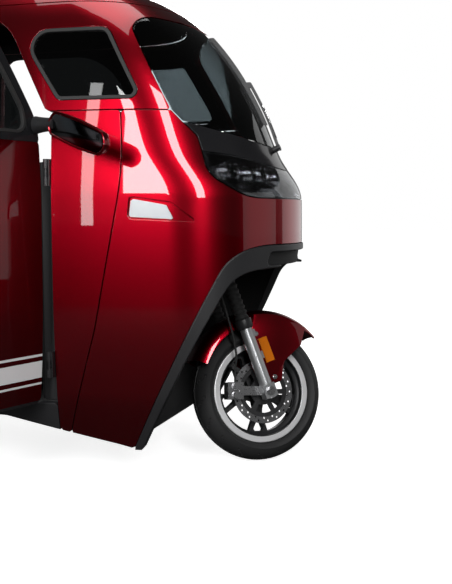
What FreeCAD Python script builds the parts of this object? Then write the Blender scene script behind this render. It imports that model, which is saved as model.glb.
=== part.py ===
import FreeCAD, Part
import math
import os
from FreeCAD import Vector

# A closed three-wheeled microcar: one steered front wheel on a telescopic fork, two driven rear
# wheels, a hollow cabin with two front-hinged doors, and a boot lid.
# Millimetres. +X is forward, +Y is left, +Z is up, and the ground is z = 0.
# While it is modelled, x = 0 is the front wheel's centre when it points straight ahead.
# place() then moves the origin to ground level under the middle of the vehicle.

# Driving dimensions: wheels
TYRE_R = 243.0
TYRE_WIDTH = 130.0
TYRE_CROWN_R = 75.0
RIM_SEAT_R = 166.0
RIM_FLANGE_R = 181.0
RIM_WIDTH = 96.0
FLANGE_T = 6.0
HUB_R = 34.0
WELL_DEPTH = 14.0
SPOKE_HALF = 16.0
AXLE_R = 8.0
REAR_STUB_R = 12.0
AXLE_CLEARANCE = 0.05
SPOKES = 5
DISC_R = 114.0
DISC_Y = (-60.0, -56.0)
DISC_HOLES = 18
DISC_HOLE_R = 3.5
WHEELBASE = 1600.0
REAR_TRACK = 730.0

# Driving dimensions: fork and steering
RAKE_DEG = 21.0
FORK_OFFSET = 35.0
REST_STEER_DEG = 40.0
LEG_SPREAD = 106.0
SLIDER_R = 22.0
GAITER_R = 26.0
STEM_R = 15.0
STEM_CLEARANCE = 0.05
SLIDER_TOP = 262.0
CLAMP_S = (440.0, 475.0)
BAR_S = 885.0
LUG_S = (112.0, 196.0)
FOOT_HALF = 24.0
GAITER_RIBS = 9
HOSE_R = 4.0
FENDER_HALF = 76.0
FENDER_R = 288.0
FENDER_FRONT_DEG = 44.0
FENDER_SPAN_DEG = 116.0

# Driving dimensions: body shell
WALL = 34.0
SKIN = 8.0
GLASS = 5.0
WIDEST_X = -900.0
FRONT_ARC_R = 480.0
SIDE_ARC_R = 5000.0
TAIL_ARC_R = 900.0
BELT_Z = 1113.0
ROOF_RAIL_Z = 1575.0
TRIM_PROUD = 5.0
SLOT_DEPTH = 16.0
INDICATOR_DEPTH = 5.0
LAMP_INSET = 14.0
LAMPS = ((150, 1012, 44), (268, 1022, 40))
WIPER_Z = (1112.0, 1195.0, 1505.0)

# Driving dimensions: doors
DOOR_FRONT_X = -596.0
DOOR_REAR_X = -1285.0
DOOR_BOTTOM_Z = 266.0
DOOR_TOP_Z = 1540.0
DOOR_GAP = 7.0
DOOR_FRONT_GAP = 30.0
HINGE_X = -578.0
HINGE_Y = 474.0
HINGE_R = 9.0
HINGE_PIN_R = 4.0
HINGE_CLEARANCE = 0.3
HINGE_LEVELS = (350.0, 975.0)
HINGE_KNUCKLE = 28.0
DOOR_REST_DEG = 70.0
HANDLE_X = (-1120.0, -1245.0)
HANDLE_Z = (862.0, 886.0)
MIRROR_X = -622.0
MIRROR_Y = -675.0
MIRROR_Z = 1128.0
MIRROR_HALF = 128.0
MIRROR_RISE = 43.0
MIRROR_DROOP_DEG = 20.0
MIRROR_GLASS_DEPTH = 2.0

# Driving dimensions: boot lid, frame and cabin
LID_Z = (520.0, 985.0)
LID_HALF = 300.0
LID_GAP = 6.0
RAIL_Y = 170.0
RAIL_Z = (172.0, 362.0)
DOWN_TUBE_X = -428.0
DOWN_TUBE_Y = 70.0
DOWN_TUBE_R = 19.0
SPRING_HALF = 200.0
HUB_HALF = 55.0
FLOOR_Z = 232.0
FLOOR_T = 4.0
DECK_Z = 546.0
ARCH_R = 290.0
PLATE_HOLE_Y = 60.0
PLATE_HOLE_R = 3.5
PLATE_Z = 327.0
PLATE_BACK = 375.0

# Values that follow
RAKE = math.radians(RAKE_DEG)
LEAN = math.asin(math.sin(math.radians(REST_STEER_DEG)) * math.sin(RAKE))
HUB_Z_REST = (TYRE_R - TYRE_CROWN_R) * math.cos(LEAN) + TYRE_CROWN_R
HUB_Z = HUB_Z_REST + FORK_OFFSET * (1 - math.cos(math.radians(REST_STEER_DEG))) * math.sin(RAKE)
AXIS_DIR = Vector(-math.sin(RAKE), 0, math.cos(RAKE))
AXIS_NORMAL = Vector(math.cos(RAKE), 0, math.sin(RAKE))
HUB = Vector(0, 0, HUB_Z)
AXIS_POINT = HUB - AXIS_NORMAL * FORK_OFFSET
FENDER_CENTRE = HUB + Vector(12, 0, 10)
REAR_X = -WHEELBASE
LEFT = Vector(0, 1, 0)
UP = Vector(0, 0, 1)
REAR_HUB = Vector(REAR_X, 0, TYRE_R)
PLATE_CENTRE = Vector(REAR_X - PLATE_BACK, 0, PLATE_Z)

# Body sections: height, nose x, tail's reach behind the rear hubs, half width, corner radius,
# tail corner radius, and how much of the wall is laid off level and upright there
SECTIONS = (
    (100, 150, 325, 428, 330, 150, 1.0, 0.0),
    (300, 150, 345, 462, 345, 160, 1.0, 0.0),
    (600, 150, 355, 478, 355, 170, 1.0, 0.0),
    (935, 148, 350, 480, 360, 170, 1.0, 0.0),
    (1090, 66, 330, 474, 360, 170, 1.0, 0.0),
    (1240, 2, 290, 460, 350, 170, 1.0, 0.1),
    (1400, -92, 200, 436, 330, 170, 1.0, 0.2),
    (1530, -205, 70, 402, 300, 170, 1.0, 0.4),
    (1620, -330, -80, 352, 250, 160, 0.9, 0.7),
    (1668, -480, -240, 280, 200, 150, 0.8, 0.95),
    (1690, -640, -400, 190, 140, 120, 0.7, 1.0),
)

SECTION_STEP = 70.0


def box(x0, x1, y0, y1, z0, z1):
    return Part.makeBox(x1 - x0, y1 - y0, z1 - z0, Vector(x0, y0, z0))


def rod(start, end, radius):
    return Part.makeCylinder(radius, (end - start).Length, start, end - start)


def fused(shapes):
    whole = shapes[0].multiFuse(shapes[1:]) if len(shapes) > 1 else shapes[0]
    return whole.removeSplitter()


def mirrored(shape):
    return shape.mirror(Vector(0, 0, 0), LEFT)


def both_sides(shape):
    return Part.makeCompound([shape, mirrored(shape)])


def turned(shape, point, direction, degrees):
    copy = shape.copy()
    copy.rotate(point, direction, degrees)
    return copy


def outline(points):
    """Closed face from (u, v, corner radius) points, with tangent arcs at the corners."""
    edges = []
    ends = []
    count = len(points)
    for i, (u, v, radius) in enumerate(points):
        corner = Vector(u, v, 0)
        before = Vector(*points[i - 1][:2], 0) - corner
        after = Vector(*points[(i + 1) % count][:2], 0) - corner
        before.normalize()
        after.normalize()
        if radius <= 0:
            ends.append((corner, corner))
            continue
        half = before.getAngle(after) / 2
        reach = radius / math.tan(half)
        start = corner + before * reach
        end = corner + after * reach
        bisector = before + after
        bisector.normalize()
        middle = corner + bisector * (radius / math.sin(half) - radius)
        edges.append((i, Part.Arc(start, middle, end).toShape()))
        ends.append((start, end))
    arcs = dict(edges)
    loop = []
    for i in range(count):
        if i in arcs:
            loop.append(arcs[i])
        following = ends[(i + 1) % count][0]
        if (following - ends[i][1]).Length > 0.001:
            loop.append(Part.LineSegment(ends[i][1], following).toShape())
    return Part.Face(Part.Wire(Part.__sortEdges__(loop)))


def side_prism(points, y0, y1):
    """Outline given in x and z, run from y0 to y1."""
    face = outline(points)
    face.rotate(Vector(0, 0, 0), Vector(1, 0, 0), 90)
    face.translate(Vector(0, y0, 0))
    return face.extrude(Vector(0, y1 - y0, 0))


def front_prism(points, x0, x1):
    """Outline given in y and z, run from x0 to x1."""
    face = outline(points)
    face.rotate(Vector(0, 0, 0), Vector(1, 1, 1), 120)
    face.translate(Vector(x0, 0, 0))
    return face.extrude(Vector(x1 - x0, 0, 0))


def ring(profile, centre):
    """Turn an outline of (radius, y) points about the wheel's axis."""
    face = outline(profile)
    return face.revolve(Vector(0, 0, 0), LEFT, 360).translated(centre)


def arc_corner(centre_a, reach_a, centre_b, reach_b, forward):
    """The point at two given distances from two centres, on the +y side."""
    span = centre_b - centre_a
    along = (reach_a ** 2 - reach_b ** 2 + span.Length ** 2) / (2 * span.Length)
    across = math.sqrt(reach_a ** 2 - along ** 2)
    unit = span.normalize()
    side = Vector(-unit.y, unit.x, 0) * forward
    return centre_a + unit * along + side * across


def plan_section(row, inset):
    """One level section of the body, of eight arcs: nose, sides, tail and four corners."""
    z, nose, tail_reach, half, corner_r, tail_r, level, upright = row
    tail = REAR_X - tail_reach
    inset_x = inset * level
    front = Vector(nose - FRONT_ARC_R, 0, 0)
    back = Vector(tail + TAIL_ARC_R, 0, 0)
    side = Vector(WIDEST_X, half - SIDE_ARC_R, 0)
    front_corner = arc_corner(Vector(front), FRONT_ARC_R - corner_r, Vector(side), SIDE_ARC_R - corner_r, 1)
    tail_corner = arc_corner(Vector(back), TAIL_ARC_R - tail_r, Vector(side), SIDE_ARC_R - tail_r, -1)

    def on(centre, toward, radius):
        way = Vector(toward - centre).normalize()
        return centre + way * (radius - inset_x)

    nose_end = on(front, front_corner, FRONT_ARC_R)
    side_start = on(side, front_corner, SIDE_ARC_R)
    side_end = on(side, tail_corner, SIDE_ARC_R)
    tail_start = on(back, tail_corner, TAIL_ARC_R)
    nose_mid = Vector(nose - inset_x, 0, 0)
    tail_mid = Vector(tail + inset_x, 0, 0)

    def middle(centre, a, b, radius):
        return centre + ((a - centre).normalize() + (b - centre).normalize()).normalize() * (radius - inset_x)

    corner_mid = middle(front_corner, Vector(nose_end), Vector(side_start), corner_r)
    side_mid = middle(side, Vector(side_start), Vector(side_end), SIDE_ARC_R)
    tail_corner_mid = middle(tail_corner, Vector(side_end), Vector(tail_start), tail_r)
    lift = Vector(0, 0, z - inset * upright)

    def flip(point):
        return Vector(point.x, -point.y, 0)

    arcs = (
        (flip(nose_end), nose_mid, nose_end),
        (nose_end, corner_mid, side_start),
        (side_start, side_mid, side_end),
        (side_end, tail_corner_mid, tail_start),
        (tail_start, tail_mid, flip(tail_start)),
        (flip(tail_start), flip(tail_corner_mid), flip(side_end)),
        (flip(side_end), flip(side_mid), flip(side_start)),
        (flip(side_start), flip(corner_mid), flip(nose_end)),
    )
    return Part.Wire([Part.Arc(a + lift, b + lift, c + lift).toShape() for a, b, c in arcs])


def slopes(lengths, values):
    """Slopes through given values that never overshoot them."""
    steps = [(b - a) / (t - s) for s, t, a, b in zip(lengths, lengths[1:], values, values[1:])]
    inner = [2 * a * b / (a + b) if a * b > 0 else 0.0 for a, b in zip(steps, steps[1:])]
    return [steps[0]] + inner + [steps[-1]]


def blended(lengths, values, tangents, i, t):
    """The value at the share t of span i of a smooth curve."""
    span = lengths[i + 1] - lengths[i]
    u = 1 - t
    ends = values[i] * u * u * (1 + 2 * t) + values[i + 1] * t * t * (1 + 2 * u)
    return ends + span * (tangents[i] * t * u * u - tangents[i + 1] * u * t * t)


def smooth_rows():
    """The section table, filled in between its rows along the body's skin."""
    columns = list(zip(*SECTIONS))
    lengths = [0.0]
    for low, high in zip(SECTIONS, SECTIONS[1:]):
        lengths.append(lengths[-1] + math.dist(low[:4], high[:4]))
    tangents = [slopes(lengths, column) for column in columns]
    rows = []
    for i in range(len(SECTIONS) - 1):
        count = max(1, round((lengths[i + 1] - lengths[i]) / SECTION_STEP))
        for k in range(count):
            rows.append([blended(lengths, c, g, i, k / count) for c, g in zip(columns, tangents)])
    return rows + [SECTIONS[-1]]


def body_form(inset):
    """The closed body's outer form, moved inward by inset."""
    return Part.makeLoft([plan_section(row, inset) for row in smooth_rows()], True, False)


# Lines that split the body, seen from the side as (x, z, corner radius) points
RED_EDGE = [(-345, 45, 0), (16, 783, 150), (300, 783, 0)]
BAND_EDGE = [(-325, 30, 0), (22, 697, 110), (300, 725, 0)]
LENS_EDGE = [(300, 934, 0), (50, 938, 110), (-64, 1012, 110), (-104, 1132, 50), (-182, 1215, 0)]
SCREEN_EDGE = [(-182, 1215, 0), (-352, 1530, 40), (300, 1530, 0)]
COWL_TOP = [(-700, 1330, 0), (0, 1140, 400), (300, 1004, 0)]
COWL_BOTTOM = [(-700, 1132, 0), (10, 1076, 400), (300, 948, 0)]
SEAM = [(-335, 1215, 0), (-323, 1029, 900), (-424, 513, 900), (-530, 150, 0)]
WELL = [(-350, 20, 0), (-352, 420, 120), (-392, 640, 60), (-392, 722, 30), (60, 738, 0)]
BODY_EDGE_X = DOOR_FRONT_X + DOOR_FRONT_GAP
REAR_EDGE_X = DOOR_REAR_X - DOOR_GAP
SILL_TOP_Z = DOOR_BOTTOM_Z - DOOR_GAP
SILL_Z = 205.0
BUMPER_TOP_Z = 425.0
NOSE_BOTTOM = [(-300, 108, 0), (-365, 124, 30), (-760, SILL_Z, 60), (-1400, SILL_Z, 0)]
LOW, FAR, BACK = -200, 1200, REAR_X - 700


def door_outline(front, gap):
    """The door seen from the side, or its opening when a gap is given."""
    f = DOOR_FRONT_X + front
    r = DOOR_REAR_X - gap
    b = DOOR_BOTTOM_Z - gap
    t = DOOR_TOP_Z + gap
    return [(f, b, 25), (r, b, 60), (r, BELT_Z + 50, 300), (r + 55, t, 110), (-790 + front, t, 200),
            (f, 1175, 200)]


def window_outline():
    f = DOOR_FRONT_X - 45
    r = DOOR_REAR_X + 48
    z = BELT_Z + 24
    t = DOOR_TOP_Z - 44
    return [(f, z, 40), (r, z, 40), (r + 52, t, 80), (-805, t, 120), (f - 8, 1215, 60)]


def above(line, high=1700):
    """The region over a side line that runs forward."""
    return side_region(line + [(line[-1][0], high, 0), (line[0][0], high, 0)])


FORMS = {}
SHELLS = {}


def form(inset):
    if inset not in FORMS:
        FORMS[inset] = body_form(inset)
    return FORMS[inset]


def wall(region, outer=0.0, inner=WALL):
    """The body's wall between two insets, inside a region."""
    if (outer, inner) not in SHELLS:
        SHELLS[outer, inner] = form(outer).cut(form(inner))
    return SHELLS[outer, inner].common(region)


def side_region(points):
    return side_prism(points, -FAR, FAR)


def lower_cut():
    """Everything under the body's lower edge, in front of the rear wheels."""
    return side_region(NOSE_BOTTOM + [(-1400, LOW, 0), (-300, LOW, 0)])


def trim_region():
    low = side_region(BAND_EDGE + [(300, 783, 0)] + RED_EDGE[1::-1])
    return low.cut(box(-500, 300, -FAR, FAR, LOW, 108))


def nose_region():
    return side_region(RED_EDGE + LENS_EDGE + SEAM + [(-560, 45, 0)])


def nose_panel():
    return wall(nose_region()).cut(lower_cut()).cut(wall(indicator_recess(), -1.0, INDICATOR_DEPTH))


def side_fairings():
    region = side_region(list(reversed(SEAM)) + [(BODY_EDGE_X, 1215, 0), (BODY_EDGE_X, 100, 0),
                                                 (-530, 100, 0)])
    return wall(region).cut(lower_cut())


def front_trim():
    """The band under the nose, with the long air slot across its front."""
    slot = front_prism([(-235, 717, 10), (235, 717, 10), (215, 759, 14), (-215, 759, 14)], 0, 400)
    return wall(trim_region(), -TRIM_PROUD, WALL).cut(wall(slot, -TRIM_PROUD - 1, SLOT_DEPTH))


def wheel_well():
    """The black liner that closes the cabin off from the front wheel."""
    t = 5.0
    back = [(x - t, z + (t if z > 700 else 0), r + (t if r else 0)) for x, z, r in WELL]
    face = WELL + [(60, 738 + t, 0)] + list(reversed(back[:-1]))
    plate = side_region(face).common(form(WALL)).common(box(-500, 300, -FAR, FAR, 112, 800))
    hole = rod(AXIS_POINT + AXIS_DIR * 480, AXIS_POINT + AXIS_DIR * 560, STEM_R + 14)
    return plate.cut(hole)


def glazed_front():
    """Lens, cowl and windscreen together, seen from the side."""
    return side_region(LENS_EDGE + SCREEN_EDGE[1:])


def windscreen():
    region = glazed_front().common(above(COWL_TOP))
    return wall(region, 3.0, 3.0 + GLASS)


def cowl():
    region = glazed_front().cut(above(COWL_TOP))
    return wall(region.common(above(COWL_BOTTOM)), 0.0, 20.0)


def headlamp_lens():
    region = glazed_front().cut(above(COWL_BOTTOM))
    return wall(region, 1.0, 1.0 + GLASS)


def headlamp_units():
    """The dark tray behind the lens, with its round lamps."""
    depth = 70.0
    t = 5.0
    region = glazed_front().cut(above(COWL_BOTTOM))
    tray = wall(region, 1.0 + GLASS, depth)
    inside = region.common(region.translated(Vector(t, 0, t))).common(region.translated(Vector(0, 0, -t)))
    pieces = [tray.cut(wall(inside, 1.0 + GLASS, depth - t))]
    for y, z, radius in LAMPS:
        middle = Vector(0, y, z)
        tube = rod(middle - Vector(400, 0, 0), middle + Vector(400, 0, 0), radius)
        tube = tube.cut(rod(middle - Vector(400, 0, 0), middle + Vector(400, 0, 0), radius - t))
        bowl = wall(tube, LAMP_INSET, depth - 1)
        pieces += [bowl, mirrored(bowl)]
    return fused(pieces)


def front_light_outline():
    return [(-268, 1250, 25), (-548, 1250, 25), (-705, 1484, 60), (-395, 1484, 40)]


def rear_light_outline():
    return [(REAR_EDGE_X - 52, 1150, 35), (REAR_X - 130, 1150, 70), (REAR_X + 10, 1410, 150),
            (REAR_X + 100, 1490, 60), (REAR_EDGE_X + 2, 1490, 40)]


def rear_window_outline():
    return [(-330, 1160, 60), (330, 1160, 60), (285, 1470, 90), (-285, 1470, 90)]


def window_holes():
    holes = [side_region(front_light_outline()), side_region(rear_light_outline())]
    holes.append(front_prism(rear_window_outline(), BACK, REAR_X + 40))
    return holes


def cabin_frame():
    """Pillars, header and roof rails: the wall from the belt line up to the roof, less its glass."""
    region = side_region([(-182, 1215, 0)] + SCREEN_EDGE[1:] + [(300, ROOF_RAIL_Z, 0), (BACK, ROOF_RAIL_Z, 0),
                         (BACK, BELT_Z, 0), (REAR_EDGE_X, BELT_Z, 0), (REAR_EDGE_X, 1215, 0)])
    frame = wall(region).cut(side_region(door_outline(DOOR_FRONT_GAP, DOOR_GAP)))
    for hole in window_holes():
        frame = frame.cut(hole)
    return frame


def fixed_windows():
    panes = [wall(hole, 4.0, 4.0 + GLASS) for hole in window_holes()]
    return Part.makeCompound([solid for pane in panes for solid in pane.Solids])


def roof():
    return wall(box(BACK, 400, -FAR, FAR, ROOF_RAIL_Z, 1800))


def arches():
    axis = Vector(REAR_X, -FAR, TYRE_R)
    return Part.makeCylinder(ARCH_R, 2 * FAR, axis, LEFT)


def lid_outline(gap):
    low, high = LID_Z
    h = LID_HALF + gap
    return [(-h, low - gap, 45), (h, low - gap, 45), (h, high + gap, 45), (-h, high + gap, 45)]


def lamp_outline():
    return [(345, 640, 14), (520, 640, 0), (520, 905, 0), (345, 905, 14)]


def bumper_region():
    front = REAR_X - 280
    return side_region([(front, SILL_Z, 0), (BACK, SILL_Z, 0), (BACK, BUMPER_TOP_Z, 0),
                        (front, BUMPER_TOP_Z, 0)])


def rear_body():
    region = side_region([(REAR_EDGE_X, SILL_Z, 0), (REAR_EDGE_X, BELT_Z, 0), (BACK, BELT_Z, 0),
                         (BACK, SILL_Z, 0)])
    body = wall(region).cut(arches()).cut(bumper_region())
    body = body.cut(front_prism(lid_outline(LID_GAP), BACK, REAR_X - 100))
    lamp = front_prism(lamp_outline(), BACK, REAR_X - 180)
    return body.cut(lamp).cut(mirrored(lamp))


def rear_bumper():
    bumper = wall(bumper_region(), -4.0, WALL).cut(arches())
    plate = box(PLATE_CENTRE.x, PLATE_CENTRE.x + 45, -130, 130, PLATE_Z - 65, PLATE_Z + 65)
    bumper = bumper.fuse(plate.cut(form(WALL)))
    for y in (-PLATE_HOLE_Y, PLATE_HOLE_Y):
        bumper = bumper.cut(rod(PLATE_CENTRE + LEFT * y, PLATE_CENTRE + Vector(150, y, 0), PLATE_HOLE_R))
    return bumper


def tail_lamps():
    lamp = wall(front_prism(lamp_outline(), BACK, REAR_X - 180), 0.0, 28.0)
    return both_sides(lamp)


def sills():
    region = side_region([(BODY_EDGE_X, 100, 0), (BODY_EDGE_X, SILL_TOP_Z, 0), (REAR_EDGE_X, SILL_TOP_Z, 0),
                         (REAR_EDGE_X, 100, 0)])
    return wall(region).cut(lower_cut())


def boot_lid():
    return wall(front_prism(lid_outline(0), BACK, REAR_X - 100))


def indicator_outline():
    return [(-305, 876, 4), (-160, 868, 4), (-185, 914, 4), (-298, 934, 4)]


def indicator_recess():
    """The slanted pocket in the nose's side that the lens fills, with its pointed front end."""
    return side_prism([(-309, 872, 6), (-92, 862, 3), (-170, 921, 8), (-302, 939, 6)], -FAR, FAR)


def side_indicators():
    """Slim clear lenses in pockets of the nose's sides."""
    lens = wall(side_prism(indicator_outline(), -FAR, 0), 0.5, INDICATOR_DEPTH)
    return both_sides(lens)


def wiper():
    """One arm and blade, parked upright on the middle of the windscreen."""
    blade = wall(box(-500, 300, -4, 4, WIPER_Z[1], WIPER_Z[2]), -12.0, 2.7)
    arm = wall(box(-500, 300, -7, 7, WIPER_Z[0] - 6, WIPER_Z[1] + 150), -26.0, -17.0)
    link = wall(box(-500, 300, -5, 5, WIPER_Z[1] + 130, WIPER_Z[1] + 150), -20.0, -8.0)
    foot = Vector(20, 0, WIPER_Z[0] - 22)
    spindle = rod(foot, foot + Vector(80, 0, 38), 11).common(form(-28.0)).cut(form(-0.2))
    return fused([blade, arm, link, spindle])


# Doors, modelled closed

def door_handle():
    """A grip that follows the door's skin, on two feet."""
    front, back = HANDLE_X
    low, high = HANDLE_Z
    bar = side_prism([(front, low, 9), (back, low, 9), (back, high, 9), (front, high, 9)], -FAR, 0)
    grip = wall(bar, -18.0, -9.0)
    feet = []
    for x in (front - 22, back):
        foot = box(x, x + 22, -FAR, 0, low + 2, high - 2)
        feet.append(wall(foot, -12.0, 2.0))
    return fused([grip] + feet)


def door_pieces():
    """Skin, frame and glass of the right door, closed."""
    skin_region = side_region(door_outline(0, 0)).common(box(-FAR * 2, 0, -FAR, 0, LOW, BELT_Z))
    whole = side_region(door_outline(0, 0)).common(box(-FAR * 2, 0, -FAR, 0, LOW, 2000))
    skin = wall(skin_region, 0.0, SKIN)
    frame = wall(whole, 0.0, WALL).cut(skin).cut(side_region(window_outline()))
    glass = wall(side_prism(window_outline(), -FAR, 0), 12.0, 12.0 + GLASS)
    leaves = []
    for low in HINGE_LEVELS:
        z0 = low + HINGE_KNUCKLE + 1
        z1 = z0 + HINGE_KNUCKLE
        knuckle = rod(Vector(HINGE_X, -HINGE_Y, z0), Vector(HINGE_X, -HINGE_Y, z1), HINGE_R)
        leaf = box(DOOR_FRONT_X - 26, HINGE_X, -HINGE_Y - HINGE_R + 2, -HINGE_Y + 24, z0, z1)
        leaf = leaf.cut(box(DOOR_FRONT_X + 1, HINGE_X, -HINGE_Y, -HINGE_Y + 30, z0, z1))
        bore = rod(Vector(HINGE_X, -HINGE_Y, low), Vector(HINGE_X, -HINGE_Y, z1 + 60),
                   HINGE_PIN_R + HINGE_CLEARANCE)
        leaves.append(leaf.fuse(knuckle).cut(bore))
    leaves = leaves[0].fuse(leaves[1])
    frame = frame.fuse(leaves)
    skin = skin.cut(leaves).fuse(door_handle())
    return {"door_skin": skin, "door_frame": frame, "door_glass": glass}


def hinge_brackets():
    """The body's half of the door hinges: plate, two knuckles and the pin."""
    parts = []
    for low in HINGE_LEVELS:
        top = low + 3 * HINGE_KNUCKLE + 2
        plate = box(BODY_EDGE_X - 5, BODY_EDGE_X, -HINGE_Y - 2, -HINGE_Y + 44, low, top)
        pin = rod(Vector(HINGE_X, -HINGE_Y, low), Vector(HINGE_X, -HINGE_Y, top), HINGE_PIN_R)
        lower = rod(Vector(HINGE_X, -HINGE_Y, low), Vector(HINGE_X, -HINGE_Y, low + HINGE_KNUCKLE), HINGE_R)
        upper = rod(Vector(HINGE_X, -HINGE_Y, top - HINGE_KNUCKLE), Vector(HINGE_X, -HINGE_Y, top), HINGE_R)
        slot = rod(Vector(HINGE_X, -HINGE_Y, low + HINGE_KNUCKLE),
                   Vector(HINGE_X, -HINGE_Y, top - HINGE_KNUCKLE), HINGE_R + 1)
        parts.append(plate.cut(slot).multiFuse([pin, lower, upper]))
    return Part.makeCompound([both_sides(part) for part in parts])


def mirror_outline(shrink):
    """Long oval of the mirror head, seen from behind."""
    half, rise = MIRROR_HALF - shrink, MIRROR_RISE - shrink
    corner = rise - 4
    face = outline([(-half, -rise, corner), (half, -rise, corner), (half, rise, corner),
                    (-half, rise, corner)])
    face.rotate(Vector(0, 0, 0), Vector(1, 1, 1), 120)
    return face.OuterWire


def mirror():
    """The right door's mirror: a drooping oval head with a domed shell, on a short arm."""
    centre = Vector(MIRROR_X, MIRROR_Y, MIRROR_Z)
    rings = [(-16, 4), (-10, 0), (4, 1), (16, 6), (26, 15), (31, 26)]
    wires = [mirror_outline(shrink).translated(centre + Vector(x, 0, 0)) for x, shrink in rings]
    head = Part.makeLoft(wires, True, True)
    glass_seat = mirror_outline(7).translated(centre + Vector(-16, 0, 0))
    head = head.cut(Part.Face(glass_seat).extrude(Vector(MIRROR_GLASS_DEPTH, 0, 0)))
    head = turned(head, centre, Vector(1, 0, 0), MIRROR_DROOP_DEG)
    droop = math.radians(MIRROR_DROOP_DEG)
    reach = MIRROR_HALF - 22
    root = centre + Vector(0, math.cos(droop), math.sin(droop)) * reach
    arm = rod(Vector(root.x, -HINGE_Y + 30, root.z), root, 11)
    return head.fuse(arm).cut(form(0.0)).removeSplitter()


# Frame, floor and cabin fittings

def frame():
    """Steel chassis: rails that kick up over the rear axle, cross tubes and the steering head."""
    low, high = RAIL_Z
    rail = side_prism([(-400, low, 0), (REAR_X + 310, low, 40), (REAR_X + 250, high, 40),
                       (REAR_X - 285, high, 0), (REAR_X - 285, high + 40, 0), (REAR_X + 278, high + 40, 40),
                       (REAR_X + 338, FLOOR_Z, 40), (-400, FLOOR_Z, 0)], RAIL_Y - 20, RAIL_Y + 20)
    pieces = [rail, mirrored(rail)]
    for x in (-420, -800, REAR_X + 360):
        pieces.append(box(x - 20, x + 20, -RAIL_Y, RAIL_Y, low + 10, low + 50))
    for x in (REAR_X + 200, REAR_X - 260):
        pieces.append(box(x - 20, x + 20, -RAIL_Y, RAIL_Y, high + 4, high + 38))
    head_low = AXIS_POINT + AXIS_DIR * 556
    head_high = AXIS_POINT + AXIS_DIR * 700
    head = rod(head_low, head_high, 30)
    for y in (-DOWN_TUBE_Y, DOWN_TUBE_Y):
        foot = Vector(DOWN_TUBE_X, y, 200)
        knee = Vector(DOWN_TUBE_X, y, 760)
        neck = Vector((head_low.x + head_high.x) / 2 - 12, y * 0.25, (head_low.z + head_high.z) / 2)
        pieces.append(rod(foot, knee, DOWN_TUBE_R))
        pieces.append(Part.makeSphere(DOWN_TUBE_R, knee))
        pieces.append(rod(knee, neck, DOWN_TUBE_R))
    pieces.append(head)
    body = fused(pieces)
    return body.cut(rod(AXIS_POINT + AXIS_DIR * 400, AXIS_POINT + AXIS_DIR * 900, STEM_R + STEM_CLEARANCE))


def floor_pan():
    pan = box(REAR_X + 375, -397, -FAR, FAR, FLOOR_Z, FLOOR_Z + FLOOR_T).common(form(WALL))
    for y in (-DOWN_TUBE_Y, DOWN_TUBE_Y):
        foot = Vector(DOWN_TUBE_X, y, 0)
        pan = pan.cut(rod(foot, foot + UP * 400, DOWN_TUBE_R + 0.3))
    return pan


def rear_deck():
    """Panel over the rear wheels, with the riser in front of them."""
    t = 6.0
    foot, knee, end = REAR_X + 375, REAR_X + 345, REAR_X - 305
    plate = side_region([(foot, FLOOR_Z, 0), (knee, DECK_Z, 30), (end, DECK_Z, 0), (end, DECK_Z - t, 0),
                        (knee + 6 - t, DECK_Z - t, 24), (foot - t, FLOOR_Z, 0)])
    return plate.common(form(WALL))


def dash():
    t = 4.0
    plate = side_region([(-460, FLOOR_Z + FLOOR_T, 0), (-460, 850, 60), (-360, 1005, 50), (-60, 1005, 0),
                        (-60, 1005 + t, 0), (-362, 1005 + t, 54), (-460 - t, 851, 64),
                        (-460 - t, FLOOR_Z + FLOOR_T, 0)])
    hole = rod(AXIS_POINT + AXIS_DIR * 780, AXIS_POINT + AXIS_DIR * 880, 40)
    return plate.common(form(WALL)).common(form(75.0)).cut(hole)


def battery_box():
    return side_prism([(-800, FLOOR_Z + FLOOR_T, 0), (-1190, FLOOR_Z + FLOOR_T, 0), (-1190, 515, 20),
                      (-800, 515, 30)], -190, 190)


def seat_cushions():
    driver = side_prism([(-790, 515.5, 20), (-1180, 515.5, 20), (-1180, 600, 30), (-790, 605, 35)], -215, 215)
    front, back, low = REAR_X + 300, REAR_X - 90, DECK_Z + 0.5
    bench = side_prism([(front, low, 20), (back, low, 20), (back, low + 94, 30), (front, low + 99, 35)],
                       -375, 375)
    return Part.makeCompound([driver, bench])


def seat_backs():
    driver = side_prism([(-1120, 606, 20), (-1190, 606, 20), (-1265, 1015, 30), (-1195, 1015, 30)], -205, 205)
    low = DECK_Z + 100
    bench = side_prism([(REAR_X - 40, low, 20), (REAR_X - 100, low, 20), (REAR_X - 175, low + 414, 30),
                       (REAR_X - 110, low + 414, 30)], -365, 365)
    return Part.makeCompound([driver, bench])


def rear_axle():
    reach = REAR_TRACK / 2 - HUB_HALF - 8
    beam = rod(REAR_HUB - LEFT * reach, REAR_HUB + LEFT * reach, 30)
    motor = rod(REAR_HUB + Vector(0, -95, 0), REAR_HUB + Vector(0, 60, 0), 88)
    gear = rod(REAR_HUB + Vector(0, 60, 0), REAR_HUB + Vector(0, 110, 0), 105)
    pieces = [beam, motor, gear]
    face = REAR_TRACK / 2 - HUB_HALF
    for side in (-1, 1):
        start = REAR_HUB + LEFT * (side * (face - 14))
        pieces.append(rod(start, REAR_HUB + LEFT * (side * (face - 1)), 52))
        pieces.append(rod(start, REAR_HUB + LEFT * (side * (face + 90)), REAR_STUB_R))
    return fused(pieces)


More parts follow.
